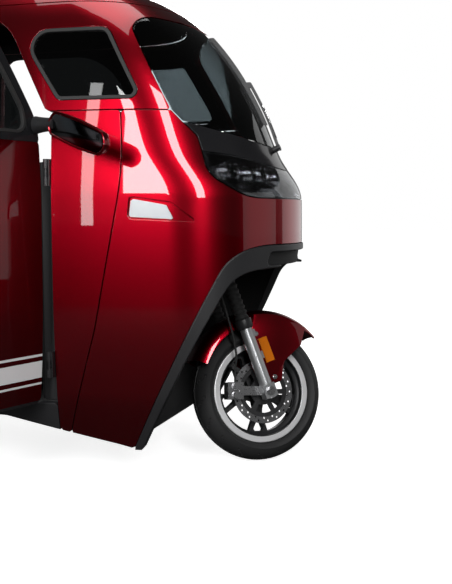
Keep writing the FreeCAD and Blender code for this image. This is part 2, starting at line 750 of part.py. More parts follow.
def rear_springs():
    """Leaf springs between the axle beam and the rails."""
    t = 16.0
    low = REAR_HUB.z + 30.2
    top = RAIL_Z[1] - 0.2
    eye = 15.0
    front, back = REAR_X + SPRING_HALF, REAR_X - SPRING_HALF
    seat_front, seat_back = REAR_X + 60, REAR_X - 60
    leaf = side_prism([(front, top - eye - t / 2, 0), (seat_front, low, 120), (seat_back, low, 120),
                      (back, top - eye - t / 2, 0), (back, top - eye + t / 2, 0), (seat_back, low + t, 120),
                      (seat_front, low + t, 120), (front, top - eye + t / 2, 0)], RAIL_Y - 20, RAIL_Y + 20)
    eyes = [rod(Vector(x, RAIL_Y - 20, top - eye), Vector(x, RAIL_Y + 20, top - eye), eye)
            for x in (front, back)]
    return both_sides(fused([leaf] + eyes))


# Wheels

def tyre(centre):
    """Solid of the tyre: flat beads against the flanges, bulging walls and a round crown."""
    crown = TYRE_R - TYRE_CROWN_R
    angle = math.radians(60)
    shoulder = crown + TYRE_CROWN_R * math.cos(angle)
    edge = TYRE_CROWN_R * math.sin(angle)
    bead = RIM_WIDTH / 2 - FLANGE_T
    top = RIM_FLANGE_R + 1.5

    def wall_arc(side):
        bulge = Vector((top + shoulder) / 2, side * (TYRE_WIDTH / 2 - 3), 0)
        return Vector(top, side * bead, 0), bulge, Vector(shoulder, side * edge, 0)

    right, left = wall_arc(-1), wall_arc(1)
    foot, left_foot = Vector(RIM_SEAT_R, -bead, 0), Vector(RIM_SEAT_R, bead, 0)
    edges = [
        Part.LineSegment(foot, right[0]).toShape(),
        Part.Arc(*right).toShape(),
        Part.Arc(right[2], Vector(TYRE_R, 0, 0), left[2]).toShape(),
        Part.Arc(left[2], left[1], left[0]).toShape(),
        Part.LineSegment(left[0], left_foot).toShape(),
        Part.LineSegment(left_foot, foot).toShape(),
    ]
    face = Part.Face(Part.Wire(edges))
    return face.revolve(Vector(0, 0, 0), LEFT, 360).translated(centre)


def spoke():
    """One cast arm: narrow at its waist, forked at the rim, and thinner towards the rim."""
    root, tip = HUB_R - 6, RIM_SEAT_R - WELL_DEPTH - 4
    waist = (root + tip) / 2 - 14
    face = outline([(root, -22, 0), (waist, -13, 60), (tip, -40, 0), (tip, 40, 0), (waist, 13, 60),
                    (root, 22, 0)])
    fork = outline([(waist + 16, 0, 5), (tip - 8, -22, 8), (tip - 8, 22, 8)])
    arm = face.cut(fork)
    arm.rotate(Vector(0, 0, 0), Vector(1, 0, 0), 90)
    arm = arm.translated(Vector(0, SPOKE_HALF, 0)).extrude(Vector(0, -2 * SPOKE_HALF, 0))
    end_half = SPOKE_HALF - 6
    taper = outline([(root, -SPOKE_HALF, 0), (tip, -end_half, 0), (tip, end_half, 0), (root, SPOKE_HALF, 0)])
    return arm.common(taper.translated(Vector(0, 0, -60)).extrude(Vector(0, 0, 120)))


def rim(centre, bore_r, hub_half):
    """Cast rim: barrel with flanges, spokes and a bored hub."""
    w = RIM_WIDTH / 2
    seat, well = RIM_SEAT_R, RIM_SEAT_R - WELL_DEPTH
    flange = w - FLANGE_T
    barrel = ring([(seat - 8, -w, 3), (RIM_FLANGE_R, -w, 3), (RIM_FLANGE_R, -flange, 0), (seat, -flange, 0),
                   (seat, -22, 4), (well, -13, 4), (well, 13, 4), (seat, 22, 4), (seat, flange, 0),
                   (RIM_FLANGE_R, flange, 0), (RIM_FLANGE_R, w, 3), (seat - 8, w, 3), (seat - 8, 26, 4),
                   (well - 8, 16, 4), (well - 8, -16, 4), (seat - 8, -26, 4)], Vector(0, 0, 0))
    hub = Part.makeCylinder(HUB_R, 2 * hub_half, Vector(0, -hub_half, 0), LEFT)
    pieces = [barrel, hub]
    for i in range(SPOKES):
        pieces.append(turned(spoke(), Vector(0, 0, 0), LEFT, 360.0 / SPOKES * i + 18))
    whole = fused(pieces)
    whole = whole.cut(Part.makeCylinder(bore_r, 400, Vector(0, -200, 0), LEFT))
    return whole.translated(centre)


def brake_disc():
    """Drilled ring on a six-armed carrier."""
    band = ring([(DISC_R - 38, DISC_Y[0], 0), (DISC_R, DISC_Y[0], 0), (DISC_R, DISC_Y[1], 0),
                 (DISC_R - 38, DISC_Y[1], 0)], Vector(0, 0, 0))
    centre = ring([(HUB_R - 12, DISC_Y[0], 0), (HUB_R + 14, DISC_Y[0], 0), (HUB_R + 14, DISC_Y[1], 0),
                   (HUB_R - 12, DISC_Y[1], 0)], Vector(0, 0, 0))
    pieces = [band, centre]
    for i in range(6):
        arm = box(HUB_R + 8, DISC_R - 34, DISC_Y[0], DISC_Y[1], -9, 9)
        pieces.append(turned(arm, Vector(0, 0, 0), LEFT, 60.0 * i))
    disc = fused(pieces)
    holes = []
    for i in range(DISC_HOLES):
        for reach, lag in ((DISC_R - 9, 0), (DISC_R - 19, 8)):
            hole = rod(Vector(reach, DISC_Y[0] - 2, 0), Vector(reach, DISC_Y[1] + 2, 0), DISC_HOLE_R)
            holes.append(turned(hole, Vector(0, 0, 0), LEFT, 360.0 / DISC_HOLES * i + lag))
    return disc.cut(Part.makeCompound(holes)).translated(HUB)


# Steering, modelled straight ahead

def along(s, y=0.0, forward=0.0):
    """A point s above the hub along the fork, y to the left and forward of the leg."""
    return HUB + AXIS_DIR * s + LEFT * y + AXIS_NORMAL * forward


def fork_block(s0, s1, y0, y1, f0, f1):
    """A block whose edges follow the fork."""
    block = box(f0, f1, y0, y1, s0, s1)
    block.rotate(Vector(0, 0, 0), LEFT, -RAKE_DEG)
    return block.translated(HUB)


def fork_sliders():
    """Both lower legs, each with a square foot round the axle and two lugs for the fender."""
    legs = []
    for side in (-1, 1):
        y = side * LEG_SPREAD
        y0, y1 = sorted((side * (FENDER_HALF + 4.3), side * (LEG_SPREAD - 10)))
        b0, b1 = sorted((side * (LEG_SPREAD - 17), side * (LEG_SPREAD + SLIDER_R)))
        pieces = [rod(along(-26, y), along(SLIDER_TOP - 16, y), SLIDER_R),
                  rod(along(SLIDER_TOP - 30, y), along(SLIDER_TOP - 14, y), SLIDER_R + 5),
                  rod(along(SLIDER_TOP - 14, y), along(SLIDER_TOP, y), SLIDER_R + 8),
                  fork_block(-FOOT_HALF, FOOT_HALF, b0, b1, -FOOT_HALF, FOOT_HALF)]
        for low in LUG_S:
            pieces.append(fork_block(low, low + 26, y0, y1, -6, 36))
        leg = fused(pieces)
        legs.append(leg.cut(rod(along(0, y - 40), along(0, y + 40), AXLE_R + AXLE_CLEARANCE)))
    return Part.makeCompound(legs)


def fork_gaiters():
    """Ribbed rubber bellows between the sliders and the lower clamp."""
    legs = []
    for side in (-1, 1):
        y = side * LEG_SPREAD
        step = (CLAMP_S[0] - SLIDER_TOP) / GAITER_RIBS
        profile = [Vector(0, 0, 0)]
        for i in range(GAITER_RIBS):
            profile.append(Vector(GAITER_R - 5, 0, step * i))
            profile.append(Vector(GAITER_R, 0, step * (i + 0.5)))
        end = step * GAITER_RIBS
        profile += [Vector(GAITER_R - 5, 0, end), Vector(0, 0, end), Vector(0, 0, 0)]
        leg = Part.Face(Part.makePolygon(profile)).revolve(Vector(0, 0, 0), UP, 360)
        leg.rotate(Vector(0, 0, 0), LEFT, -RAKE_DEG)
        legs.append(leg.translated(along(SLIDER_TOP, y)))
    return Part.makeCompound(legs)


def hex_nut(start, end, across):
    """A six-sided nut from start to end, measured across its flats."""
    reach = across / math.sqrt(3)
    corners = [Vector(reach * math.cos(math.radians(60 * i)), 0, reach * math.sin(math.radians(60 * i)))
               for i in range(7)]
    face = Part.Face(Part.makePolygon(corners))
    return face.translated(start).extrude(end - start)


def front_axle():
    shaft = rod(along(0, -LEG_SPREAD - 32), along(0, LEG_SPREAD + 32), AXLE_R)
    pieces = [shaft]
    inner = LEG_SPREAD - SLIDER_R
    for side in (-1, 1):
        pieces.append(rod(along(0, side * 58), along(0, side * (inner - 0.2)), AXLE_R + 7))
        face = LEG_SPREAD + SLIDER_R + 0.2
        pieces.append(rod(along(0, side * face), along(0, side * (face + 3)), 16))
        pieces.append(hex_nut(along(0, side * (face + 3)), along(0, side * (LEG_SPREAD + 38)), 24))
    return fused(pieces)


def steering_column():
    stem = rod(along(CLAMP_S[0], 0, -FORK_OFFSET), along(BAR_S, 0, -FORK_OFFSET), STEM_R)
    clamp = fork_block(CLAMP_S[0], CLAMP_S[1], -LEG_SPREAD - 30, LEG_SPREAD + 30, -60, 30)
    return fused([stem, clamp])


def handlebar():
    middle = BAR_S + 24
    pieces = [rod(along(middle, -310, -FORK_OFFSET), along(middle, 310, -FORK_OFFSET), 11)]
    for side in (-1, 1):
        grip_end = along(middle, side * 312, -FORK_OFFSET)
        pieces.append(rod(along(middle, side * 195, -FORK_OFFSET), grip_end, 17))
    pieces.append(fork_block(BAR_S, BAR_S + 50, -70, 70, -FORK_OFFSET - 30, -FORK_OFFSET + 30))
    return fused(pieces)


def front_fender():
    """A round arch close behind the tyre, with side plates that run down beside the sliders."""
    h = FENDER_HALF
    r = FENDER_R
    face = outline([(r - 44, -h, 0), (r - 16, -h, 14), (r, -h + 34, 60), (r, h - 34, 60), (r - 16, h, 14),
                    (r - 44, h, 0), (r - 44, h - 4, 0), (r - 18, h - 4, 12), (r - 4, h - 36, 58),
                    (r - 4, -h + 36, 58), (r - 18, -h + 4, 12), (r - 44, -h + 4, 0)])
    arch = face.revolve(Vector(0, 0, 0), LEFT, -FENDER_SPAN_DEG)
    arch.rotate(Vector(0, 0, 0), LEFT, -FENDER_FRONT_DEG)
    arch = arch.translated(FENDER_CENTRE)
    plate = side_prism([(-12, 60, 8), (20, 12, 8), (80, 14, 12), (112, 76, 25), (200, 104, 8), (208, 150, 0),
                        (120, 280, 0), (40, 280, 0), (40, 222, 8), (-12, 218, 8)], h, h + 4)
    plate.rotate(Vector(0, 0, 0), LEFT, -RAKE_DEG)
    plate = plate.translated(HUB).common(Part.makeCylinder(r - 12, 400, FENDER_CENTRE - LEFT * 200, LEFT))
    fender = fused([arch, plate, mirrored(plate)])
    for y in (-LEG_SPREAD, LEG_SPREAD):
        fender = fender.cut(rod(along(SLIDER_TOP - 34, y), along(SLIDER_TOP + 60, y), SLIDER_R + 8.5))
    return fender


def reflectors():
    parts = []
    for side in (-1, 1):
        y0, y1 = sorted((side * (FENDER_HALF + 4), side * (FENDER_HALF + 12)))
        parts.append(fork_block(92, 182, y0, y1, 40, 74))
    return Part.makeCompound(parts)


def brake_caliper():
    """Caliper over the disc's rear edge, carried by the right leg."""
    outer = box(-140, -84, -84, DISC_Y[0] - 3, -30, 30)
    inner = box(-140, -84, DISC_Y[1] + 3, -36, -30, 30)
    bridge = box(-140, -DISC_R - 4, -84, -36, -30, 30)
    bracket = box(-100, -18, -88, -78, -16, 16)
    pots = [rod(Vector(-112, -95, z), Vector(-112, -84, z), 14) for z in (-15, 15)]
    caliper = fused([outer, inner, bridge, bracket] + pots).translated(HUB)
    return caliper.cut(rod(along(-40, -LEG_SPREAD), along(300, -LEG_SPREAD), SLIDER_R + 0.2))


def brake_hose():
    """The hose from the caliper up behind the right leg to the lower clamp."""
    points = [HUB + Vector(-112, -74, 30), HUB + Vector(-113, -77, 74), along(150, -91, -62),
              along(222, -98, -50), along(300, -99, -45), along(374, -97, -40), along(CLAMP_S[0], -97, -38)]
    edges = []
    start = points[0]
    for before, corner, after in zip(points, points[1:], points[2:]):
        into, out = corner - before, after - corner
        turn = into.getAngle(out)
        reach = 0.45 * min(into.Length, out.Length)
        radius = reach / math.tan(turn / 2)
        into.normalize()
        out.normalize()
        a, b = corner - into * reach, corner + out * reach
        inward = (out - into).normalize()
        middle = corner + inward * (radius / math.cos(turn / 2) - radius)
        edges += [Part.LineSegment(start, a).toShape(), Part.Arc(a, middle, b).toShape()]
        print("hose bend radius", round(radius))
        start = b
    edges.append(Part.LineSegment(start, points[-1]).toShape())
    path = Part.Wire(edges)
    first = (points[1] - points[0]).normalize()
    section = Part.Wire(Part.Circle(points[0], first, HOSE_R).toShape())
    hose = path.makePipeShell([section], True, False)
    hose = hose.cut(brake_caliper()).cut(steering_column())
    print("hose volume", round(hose.Volume), "of", round(math.pi * HOSE_R ** 2 * path.Length),
          "length", round(path.Length))
    return hose


def steered(shape):
    return turned(shape, AXIS_POINT, AXIS_DIR, REST_STEER_DEG)


def opened(shape):
    return turned(shape, Vector(HINGE_X, -HINGE_Y, 0), UP, DOOR_REST_DEG)


def assembly():
    """Every node of the vehicle, in the modelling position."""
    nodes = {
        "frame": frame(),
        "nose_panel": nose_panel(),
        "side_fairings": side_fairings(),
        "front_trim": front_trim(),
        "wheel_well": wheel_well(),
        "cowl": cowl(),
        "headlamp_lens": headlamp_lens(),
        "headlamp_units": headlamp_units(),
        "windscreen": windscreen(),
        "side_indicators": side_indicators(),
        "wiper": wiper(),
        "cabin_frame": cabin_frame(),
        "fixed_windows": fixed_windows(),
        "roof": roof(),
        "rear_body": rear_body(),
        "rear_bumper": rear_bumper(),
        "tail_lamps": tail_lamps(),
        "sills": sills(),
        "hinge_brackets": hinge_brackets(),
        "floor_pan": floor_pan(),
        "rear_deck": rear_deck(),
        "dash": dash(),
        "battery_box": battery_box(),
        "seat_cushions": seat_cushions(),
        "seat_backs": seat_backs(),
        "rear_axle": rear_axle(),
        "rear_springs": rear_springs(),
        "boot_lid": boot_lid(),
    }
    doors = door_pieces()
    doors["mirror"] = mirror()
    for name, shape in doors.items():
        nodes["right_" + name] = opened(shape)
        nodes["left_" + name] = mirrored(opened(shape))
    for side, y in (("left", REAR_TRACK / 2), ("right", -REAR_TRACK / 2)):
        centre = REAR_HUB + LEFT * y
        nodes["rear_%s_tyre" % side] = tyre(centre)
        nodes["rear_%s_rim" % side] = rim(centre, REAR_STUB_R + AXLE_CLEARANCE, HUB_HALF)
    front = {
        "front_tyre": tyre(HUB),
        "front_rim": rim(HUB, AXLE_R + AXLE_CLEARANCE, HUB_HALF),
        "brake_disc": brake_disc(),
        "steering_column": steering_column(),
        "handlebar": handlebar(),
        "fork_sliders": fork_sliders(),
        "fork_gaiters": fork_gaiters(),
        "front_axle": front_axle(),
        "front_fender": front_fender(),
        "reflectors": reflectors(),
        "brake_caliper": brake_caliper(),
        "brake_hose": brake_hose(),
    }
    for name, shape in front.items():
        nodes[name] = steered(shape)
    return nodes


def place(nodes):
    """Bring the origin under the middle of the vehicle."""
    boxes = [shape.optimalBoundingBox(False, False) for shape in nodes.values()]
    middle = (min(b.XMin for b in boxes) + max(b.XMax for b in boxes)) / 2
    shift = Vector(-middle, 0, 0)
    return {name: shape.translated(shift) for name, shape in nodes.items()}, shift


def main():
    nodes, shift = place(assembly())
    os.makedirs("parts", exist_ok=True)
    for name, shape in nodes.items():
        shape.exportStep("parts/%s.step" % name)
        print(name, len(shape.Solids), shape.isValid(), round(shape.Volume / 1000))
    print("origin shift", round(shift.x, 3))


if __name__ == "__main__":
    main()
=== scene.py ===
# %% [markdown]
# # A three-wheeled microcar in the studio
# The real vehicle is a small closed cabin on three wheels: glossy red plastic panels over a black
# steel frame, with one steered wheel in front. The solids of every piece are already there as a fixed
# frame. This script gives them their finish, and stands finer meshes in for the pieces whose curves
# and small forms are seen up close.

# %% Load the frame
import math

import bmesh
import bpy
import numpy as np
from mathutils import Matrix, Vector


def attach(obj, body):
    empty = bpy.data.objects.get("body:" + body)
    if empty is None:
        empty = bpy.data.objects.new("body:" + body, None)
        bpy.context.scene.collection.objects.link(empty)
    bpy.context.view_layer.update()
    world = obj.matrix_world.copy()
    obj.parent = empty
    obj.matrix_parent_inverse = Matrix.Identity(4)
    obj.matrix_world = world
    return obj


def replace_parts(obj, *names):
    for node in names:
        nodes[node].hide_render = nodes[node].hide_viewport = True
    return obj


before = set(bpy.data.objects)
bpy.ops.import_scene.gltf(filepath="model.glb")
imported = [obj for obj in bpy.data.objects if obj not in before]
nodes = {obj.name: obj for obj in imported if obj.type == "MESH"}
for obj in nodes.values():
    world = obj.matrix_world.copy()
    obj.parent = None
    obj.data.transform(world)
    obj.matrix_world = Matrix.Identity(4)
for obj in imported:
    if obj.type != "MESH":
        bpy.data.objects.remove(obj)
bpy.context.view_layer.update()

# %% [markdown]
# ## Where things are
# The layout of such a vehicle is drawn from the front wheel: x is measured from its centre when it
# points straight ahead, y from the middle plane and z from the ground. The frame's own origin lies
# under the middle of the vehicle, so one shift takes a drawn point to its place.

# %% Layout values, in metres
ORIGIN_X = 0.886628
RAKE = math.radians(21.0)
REST_STEER = math.radians(40.0)
HUB_Z = 0.2414
FORK_OFFSET = 0.035
LEG_SPREAD = 0.106
TYRE_R = 0.243
REAR_HUB = Vector((-1.6, 0.0, TYRE_R))
HINGE = Vector((-0.578, -0.474, 0.0))
DOOR_REST = math.radians(70.0)

AXIS_DIR = Vector((-math.sin(RAKE), 0.0, math.cos(RAKE)))
AXIS_NORMAL = Vector((math.cos(RAKE), 0.0, math.sin(RAKE)))
HUB = Vector((0.0, 0.0, HUB_Z))
AXIS_POINT = HUB - AXIS_NORMAL * FORK_OFFSET
SHIFT = Matrix.Translation((ORIGIN_X, 0.0, 0.0))
STEER = (Matrix.Translation(AXIS_POINT) @ Matrix.Rotation(REST_STEER, 4, AXIS_DIR)
         @ Matrix.Translation(-AXIS_POINT))
OPEN = Matrix.Translation(HINGE) @ Matrix.Rotation(DOOR_REST, 4, "Z") @ Matrix.Translation(-HINGE)
MIRROR = Matrix.Diagonal((1.0, -1.0, 1.0, 1.0))
hub_at_rest = SHIFT @ STEER @ HUB
print("steered hub at", [round(c, 4) for c in hub_at_rest])

# %% [markdown]
# ## Shader maths as plain expressions
# A procedural finish is a chain of small sums on noise and coordinates. Wrapping a socket in a class
# with the usual operators lets such a chain be written as an expression, and one method adds any
# other node.

# %% A socket that can be used in sums
class Wire:
    def __init__(self, tree, socket):
        self.tree = tree
        self.socket = socket

    def math(self, operation, *others):
        node = self.tree.nodes.new("ShaderNodeMath")
        node.operation = operation
        for place, value in enumerate((self, *others)):
            if isinstance(value, Wire):
                self.tree.links.new(value.socket, node.inputs[place])
            else:
                node.inputs[place].default_value = value
        return Wire(self.tree, node.outputs[0])

    def flipped(self, operation, other):
        node = self.tree.nodes.new("ShaderNodeMath")
        node.operation = operation
        node.inputs[0].default_value = other
        self.tree.links.new(self.socket, node.inputs[1])
        return Wire(self.tree, node.outputs[0])

    def __add__(self, other):
        return self.math("ADD", other)

    def __radd__(self, other):
        return self.flipped("ADD", other)

    def __sub__(self, other):
        return self.math("SUBTRACT", other)

    def __rsub__(self, other):
        return self.flipped("SUBTRACT", other)

    def __mul__(self, other):
        return self.math("MULTIPLY", other)

    def __rmul__(self, other):
        return self.flipped("MULTIPLY", other)

    def __truediv__(self, other):
        return self.math("DIVIDE", other)

    def __gt__(self, other):
        return self.math("GREATER_THAN", other)

    def __lt__(self, other):
        return self.math("LESS_THAN", other)


class Finish:
    """One material, with its shader's constants set on its own sockets."""

    def __init__(self, name, **constants):
        self.material = bpy.data.materials.new(name)
        self.material.use_nodes = True
        self.tree = self.material.node_tree
        self.shader = self.tree.nodes["Principled BSDF"]
        for socket, value in constants.items():
            self.shader.inputs[socket.replace("_", " ")].default_value = value

    def node(self, kind, settings=None, output=0, **sockets):
        node = self.tree.nodes.new(kind)
        for key, value in (settings or {}).items():
            setattr(node, key, value)
        for key, value in sockets.items():
            socket = node.inputs[int(key[1:])] if key[1:].isdigit() else node.inputs[key.replace("_", " ")]
            if isinstance(value, Wire):
                self.tree.links.new(value.socket, socket)
            else:
                socket.default_value = value
        return Wire(self.tree, node.outputs[output])

    def feed(self, socket, wire):
        self.tree.links.new(wire.socket, self.shader.inputs[socket])

    def place(self):
        return self.node("ShaderNodeTexCoord", output=3)

    def noise(self, scale, detail=3.0, roughness=0.5, vector=None):
        return self.node("ShaderNodeTexNoise", Vector=vector or self.place(), Scale=scale, Detail=detail,
                         Roughness=roughness)

    def blend(self, factor, dark, light):
        mix = self.tree.nodes.new("ShaderNodeMix")
        mix.data_type = "RGBA"
        for place, value in ((0, factor), (6, dark), (7, light)):
            if isinstance(value, Wire):
                self.tree.links.new(value.socket, mix.inputs[place])
            else:
                mix.inputs[place].default_value = value
        return Wire(self.tree, mix.outputs[2])

    def bump(self, height, strength, distance):
        self.feed("Normal", self.node("ShaderNodeBump", Strength=strength, Distance=distance, Height=height))

    def xyz(self, vector=None):
        split = self.tree.nodes.new("ShaderNodeSeparateXYZ")
        self.tree.links.new((vector or self.place()).socket, split.inputs[0])
        return [Wire(self.tree, out) for out in split.outputs]


def shade(colour):
    return (*colour, 1.0)


# %% [markdown]
# ## Finishes
# The paint is a deep candy red: a metallic base under a clear coat, with fine flake that only shows
# close up, so the coat carries the sharp reflections. The trim is moulded black plastic with a fine
# grain. Every finish varies a little in colour and roughness, because a perfectly even surface looks
# like none at all.

# %% Paint, plastic, steel, rubber and glass
finishes = {}


def keep(key, finish):
    finishes[key] = finish.material
    return finish


def paint(name="candy_red_paint"):
    f = Finish(name, Metallic=1.0, Roughness=0.30, Coat_Weight=1.0, Coat_Roughness=0.02)
    cloud = f.noise(2.4, 4.0)
    flake = f.noise(900.0, 1.0)
    base = f.blend(cloud, shade((0.21, 0.0006, 0.006)), shade((0.27, 0.0010, 0.008)))
    f.feed("Base Color", f.blend(flake * 0.2, base, shade((0.42, 0.004, 0.014))))
    f.feed("Roughness", 0.25 + flake * 0.10)
    return f


def moulded(name, colour, roughness, grain=0.12, scale=850.0):
    f = Finish(name, Roughness=roughness, Specular_IOR_Level=0.45)
    lighter = tuple(min(1.0, c * 1.5 + 0.004) for c in colour)
    f.feed("Base Color", f.blend(f.noise(6.0, 5.0), shade(colour), shade(lighter)))
    speckle = f.noise(scale, 2.0)
    f.feed("Roughness", roughness - 0.05 + speckle * 0.12)
    f.bump(speckle, grain, 0.0006)
    return f


def metal(name, colour, roughness, grain=260.0, metallic=1.0):
    f = Finish(name, Metallic=metallic, Roughness=roughness)
    darker = tuple(c * 0.82 for c in colour)
    cloud = f.noise(14.0, 5.0)
    f.feed("Base Color", f.blend(cloud, shade(darker), shade(colour)))
    f.feed("Roughness", roughness - 0.06 + f.noise(grain, 3.0) * 0.14)
    return f


def glazing(name, colour, transmission=1.0):
    f = Finish(name, Roughness=0.02, Transmission_Weight=transmission, IOR=1.45)
    darker = tuple(c * 0.92 for c in colour)
    f.feed("Base Color", f.blend(f.noise(1.6, 2.0), shade(darker), shade(colour)))
    return f


keep("red", paint())
keep("black", moulded("black_moulding", (0.012, 0.012, 0.013), 0.42))
keep("satin", moulded("satin_black_steel", (0.010, 0.010, 0.011), 0.34, grain=0.05))
keep("gloss_black", moulded("gloss_black_moulding", (0.008, 0.008, 0.009), 0.14, grain=0.02))
keep("indicator", moulded("indicator_white", (0.52, 0.55, 0.57), 0.16, grain=0.03))
keep("leather", moulded("seat_vinyl", (0.016, 0.016, 0.017), 0.50, grain=0.35, scale=260.0))
keep("liner", moulded("liner_black", (0.006, 0.006, 0.0065), 0.7, grain=0.3, scale=300.0))
keep("silver", metal("silver_fork_paint", (0.52, 0.53, 0.54), 0.33, metallic=0.85))
keep("steel", metal("ground_steel", (0.50, 0.50, 0.51), 0.28))
keep("chrome", metal("bright_plating", (0.86, 0.86, 0.87), 0.08))
keep("rubber", moulded("soft_rubber", (0.012, 0.012, 0.012), 0.62, grain=0.2, scale=500.0))
keep("tyre", moulded("tyre_rubber", (0.014, 0.014, 0.0145), 0.66, grain=0.25, scale=420.0))
keep("tinted", glazing("tinted_glass", (0.10, 0.115, 0.12)))
keep("red_lens", glazing("red_lens", (0.55, 0.01, 0.012), transmission=0.35))


def door_paint():
    """The same paint with the door's stripes: a broad white band between thin lines."""
    f = paint("door_red_paint")
    height = f.xyz()[2]
    broad = (height > 0.352) * (height < 0.408)
    upper = (height > 0.423) * (height < 0.431)
    lower = (height > 0.330) * (height < 0.337)
    dark = (height > 0.258) * (height < 0.276)
    base = f.shader.inputs["Base Color"].links[0].from_socket
    white = f.blend(f.noise(5.0), shade((0.72, 0.72, 0.73)), shade((0.80, 0.80, 0.80)))
    striped = f.blend(broad + upper + lower, Wire(f.tree, base), white)
    f.feed("Base Color", f.blend(dark, striped, shade((0.012, 0.012, 0.013))))
    f.feed("Metallic", 1.0 - (broad + upper + lower + dark))
    return f


keep("door_red", door_paint())


def turned_metal(name, centre, axis, edge, inner, outer):
    """A finish that changes at a radius from an axis: inner finish, then outer finish."""
    f = Finish(name)
    reach = f.node("ShaderNodeVectorMath", {"operation": "SUBTRACT"}, i0=f.place(), i1=tuple(centre))
    across = f.node("ShaderNodeVectorMath", {"operation": "CROSS_PRODUCT"}, i0=reach, i1=tuple(axis))
    radius = f.node("ShaderNodeVectorMath", {"operation": "LENGTH"}, output=1, i0=across)
    past = radius > edge
    cloud = f.noise(30.0, 4.0)
    near = f.blend(cloud, shade(inner[0]), shade(tuple(c * 1.4 for c in inner[0])))
    far = f.blend(cloud, shade(tuple(c * 0.9 for c in outer[0])), shade(outer[0]))
    f.feed("Base Color", f.blend(past, near, far))
    f.feed("Metallic", inner[2] + past * (outer[2] - inner[2]))
    grooves = f.node("ShaderNodeMath", {"operation": "SINE"}, i0=radius * 6000.0)
    f.feed("Roughness", inner[1] + past * (outer[1] - inner[1]) + grooves * 0.03 + cloud * 0.06)
    return f


# colour, roughness and metal share inside and outside the edge
WHEEL_AXIS = STEER.to_3x3() @ Vector((0.0, 1.0, 0.0))
BLACK_CAST = ((0.014, 0.014, 0.015), 0.38, 0.0)
BRIGHT = ((0.94, 0.94, 0.95), 0.30, 0.5)
GROUND = ((0.46, 0.46, 0.47), 0.26, 1.0)
LIP_EDGE, DISC_EDGE = 0.160, 0.091
keep("front_cast", turned_metal("cast_wheel_front", hub_at_rest, WHEEL_AXIS, LIP_EDGE, BLACK_CAST, BRIGHT))
keep("rear_cast", turned_metal("cast_wheel_rear", SHIFT @ REAR_HUB, (0.0, 1.0, 0.0), LIP_EDGE, BLACK_CAST,
                               BRIGHT))
keep("disc", turned_metal("drilled_disc", hub_at_rest, WHEEL_AXIS, DISC_EDGE, BLACK_CAST, GROUND))
keep("mirror", metal("mirror_glass", (0.020, 0.020, 0.022), 0.10, grain=3.0))
keep("lens_grey", glazing("smoked_lens", (0.62, 0.64, 0.66)))
keep("reflector", metal("lamp_reflector", (0.24, 0.24, 0.25), 0.22))
keep("amber", glazing("amber_lens", (0.85, 0.22, 0.01), transmission=0.3))
print("finishes:", sorted(finishes))

# %% [markdown]
# ## The body's form
# The body is drawn as level sections, each a closed line of eight arcs: a nose arc, two sides, a
# tail and four corners. A smooth curve through the table gives the sections between its rows. A
# point on the skin then has two addresses: how far round its section it lies, and how far up the
# skin. Panels are cut out in that flat plane of addresses and only then laid on the form, so every
# panel follows the same surface.

# %% The section table, in metres
NOSE_ARC_R = 0.48
SIDE_ARC_R = 5.0
TAIL_ARC_R = 0.9
WIDEST_X = -0.9
WALL = 0.034
# height, nose x, tail x, half width, corner radius, tail corner radius, level, upright
SECTIONS = np.array((
    (0.100, 0.150, -1.925, 0.428, 0.330, 0.150, 1.0, 0.0),
    (0.300, 0.150, -1.945, 0.462, 0.345, 0.160, 1.0, 0.0),
    (0.600, 0.150, -1.955, 0.478, 0.355, 0.170, 1.0, 0.0),
    (0.935, 0.148, -1.950, 0.480, 0.360, 0.170, 1.0, 0.0),
    (1.090, 0.066, -1.930, 0.474, 0.360, 0.170, 1.0, 0.0),
    (1.240, 0.002, -1.890, 0.460, 0.350, 0.170, 1.0, 0.1),
    (1.400, -0.092, -1.800, 0.436, 0.330, 0.170, 1.0, 0.2),
    (1.530, -0.205, -1.670, 0.402, 0.300, 0.170, 1.0, 0.4),
    (1.620, -0.330, -1.520, 0.352, 0.250, 0.160, 0.9, 0.7),
    (1.668, -0.480, -1.360, 0.280, 0.200, 0.150, 0.8, 0.95),
    (1.690, -0.640, -1.200, 0.190, 0.140, 0.120, 0.7, 1.0),
    (1.6965, -0.770, -1.070, 0.095, 0.075, 0.070, 0.0, 1.0),
    (1.6985, -0.860, -0.980, 0.024, 0.021, 0.020, 0.0, 1.0),
))
ROW_AT = np.concatenate([[0.0], np.cumsum(np.linalg.norm(np.diff(SECTIONS[:, :4], axis=0), axis=1))])
STEPS = np.diff(SECTIONS, axis=0) / np.diff(ROW_AT)[:, None]
SAME_WAY = STEPS[:-1] * STEPS[1:] > 0
MEAN = 2 * STEPS[:-1] * STEPS[1:] / np.where(SAME_WAY, STEPS[:-1] + STEPS[1:], 1.0)
SLOPES = np.vstack([STEPS[0], np.where(SAME_WAY, MEAN, 0.0), STEPS[-1]])


def section(s):
    """The table's columns at lengths s up the skin, on a curve that never overshoots."""
    i = np.clip(np.searchsorted(ROW_AT, s, side="right") - 1, 0, len(ROW_AT) - 2)
    span = (ROW_AT[i + 1] - ROW_AT[i])[:, None]
    t = (s - ROW_AT[i])[:, None] / span
    u = 1 - t
    ends = SECTIONS[i] * u * u * (1 + 2 * t) + SECTIONS[i + 1] * t * t * (1 + 2 * u)
    return (ends + span * (SLOPES[i] * t * u * u - SLOPES[i + 1] * u * t * t)).T


def corner_centre(start, reach_a, end, reach_b, forward):
    """The points at given distances from two centres, on the left-hand side of the body."""
    span = end - start
    length = np.hypot(*span)
    along = (reach_a ** 2 - reach_b ** 2 + length ** 2) / (2 * length)
    across = np.sqrt(reach_a ** 2 - along ** 2) * forward
    unit = span / length
    return start + unit * along + np.array((-unit[1], unit[0])) * across


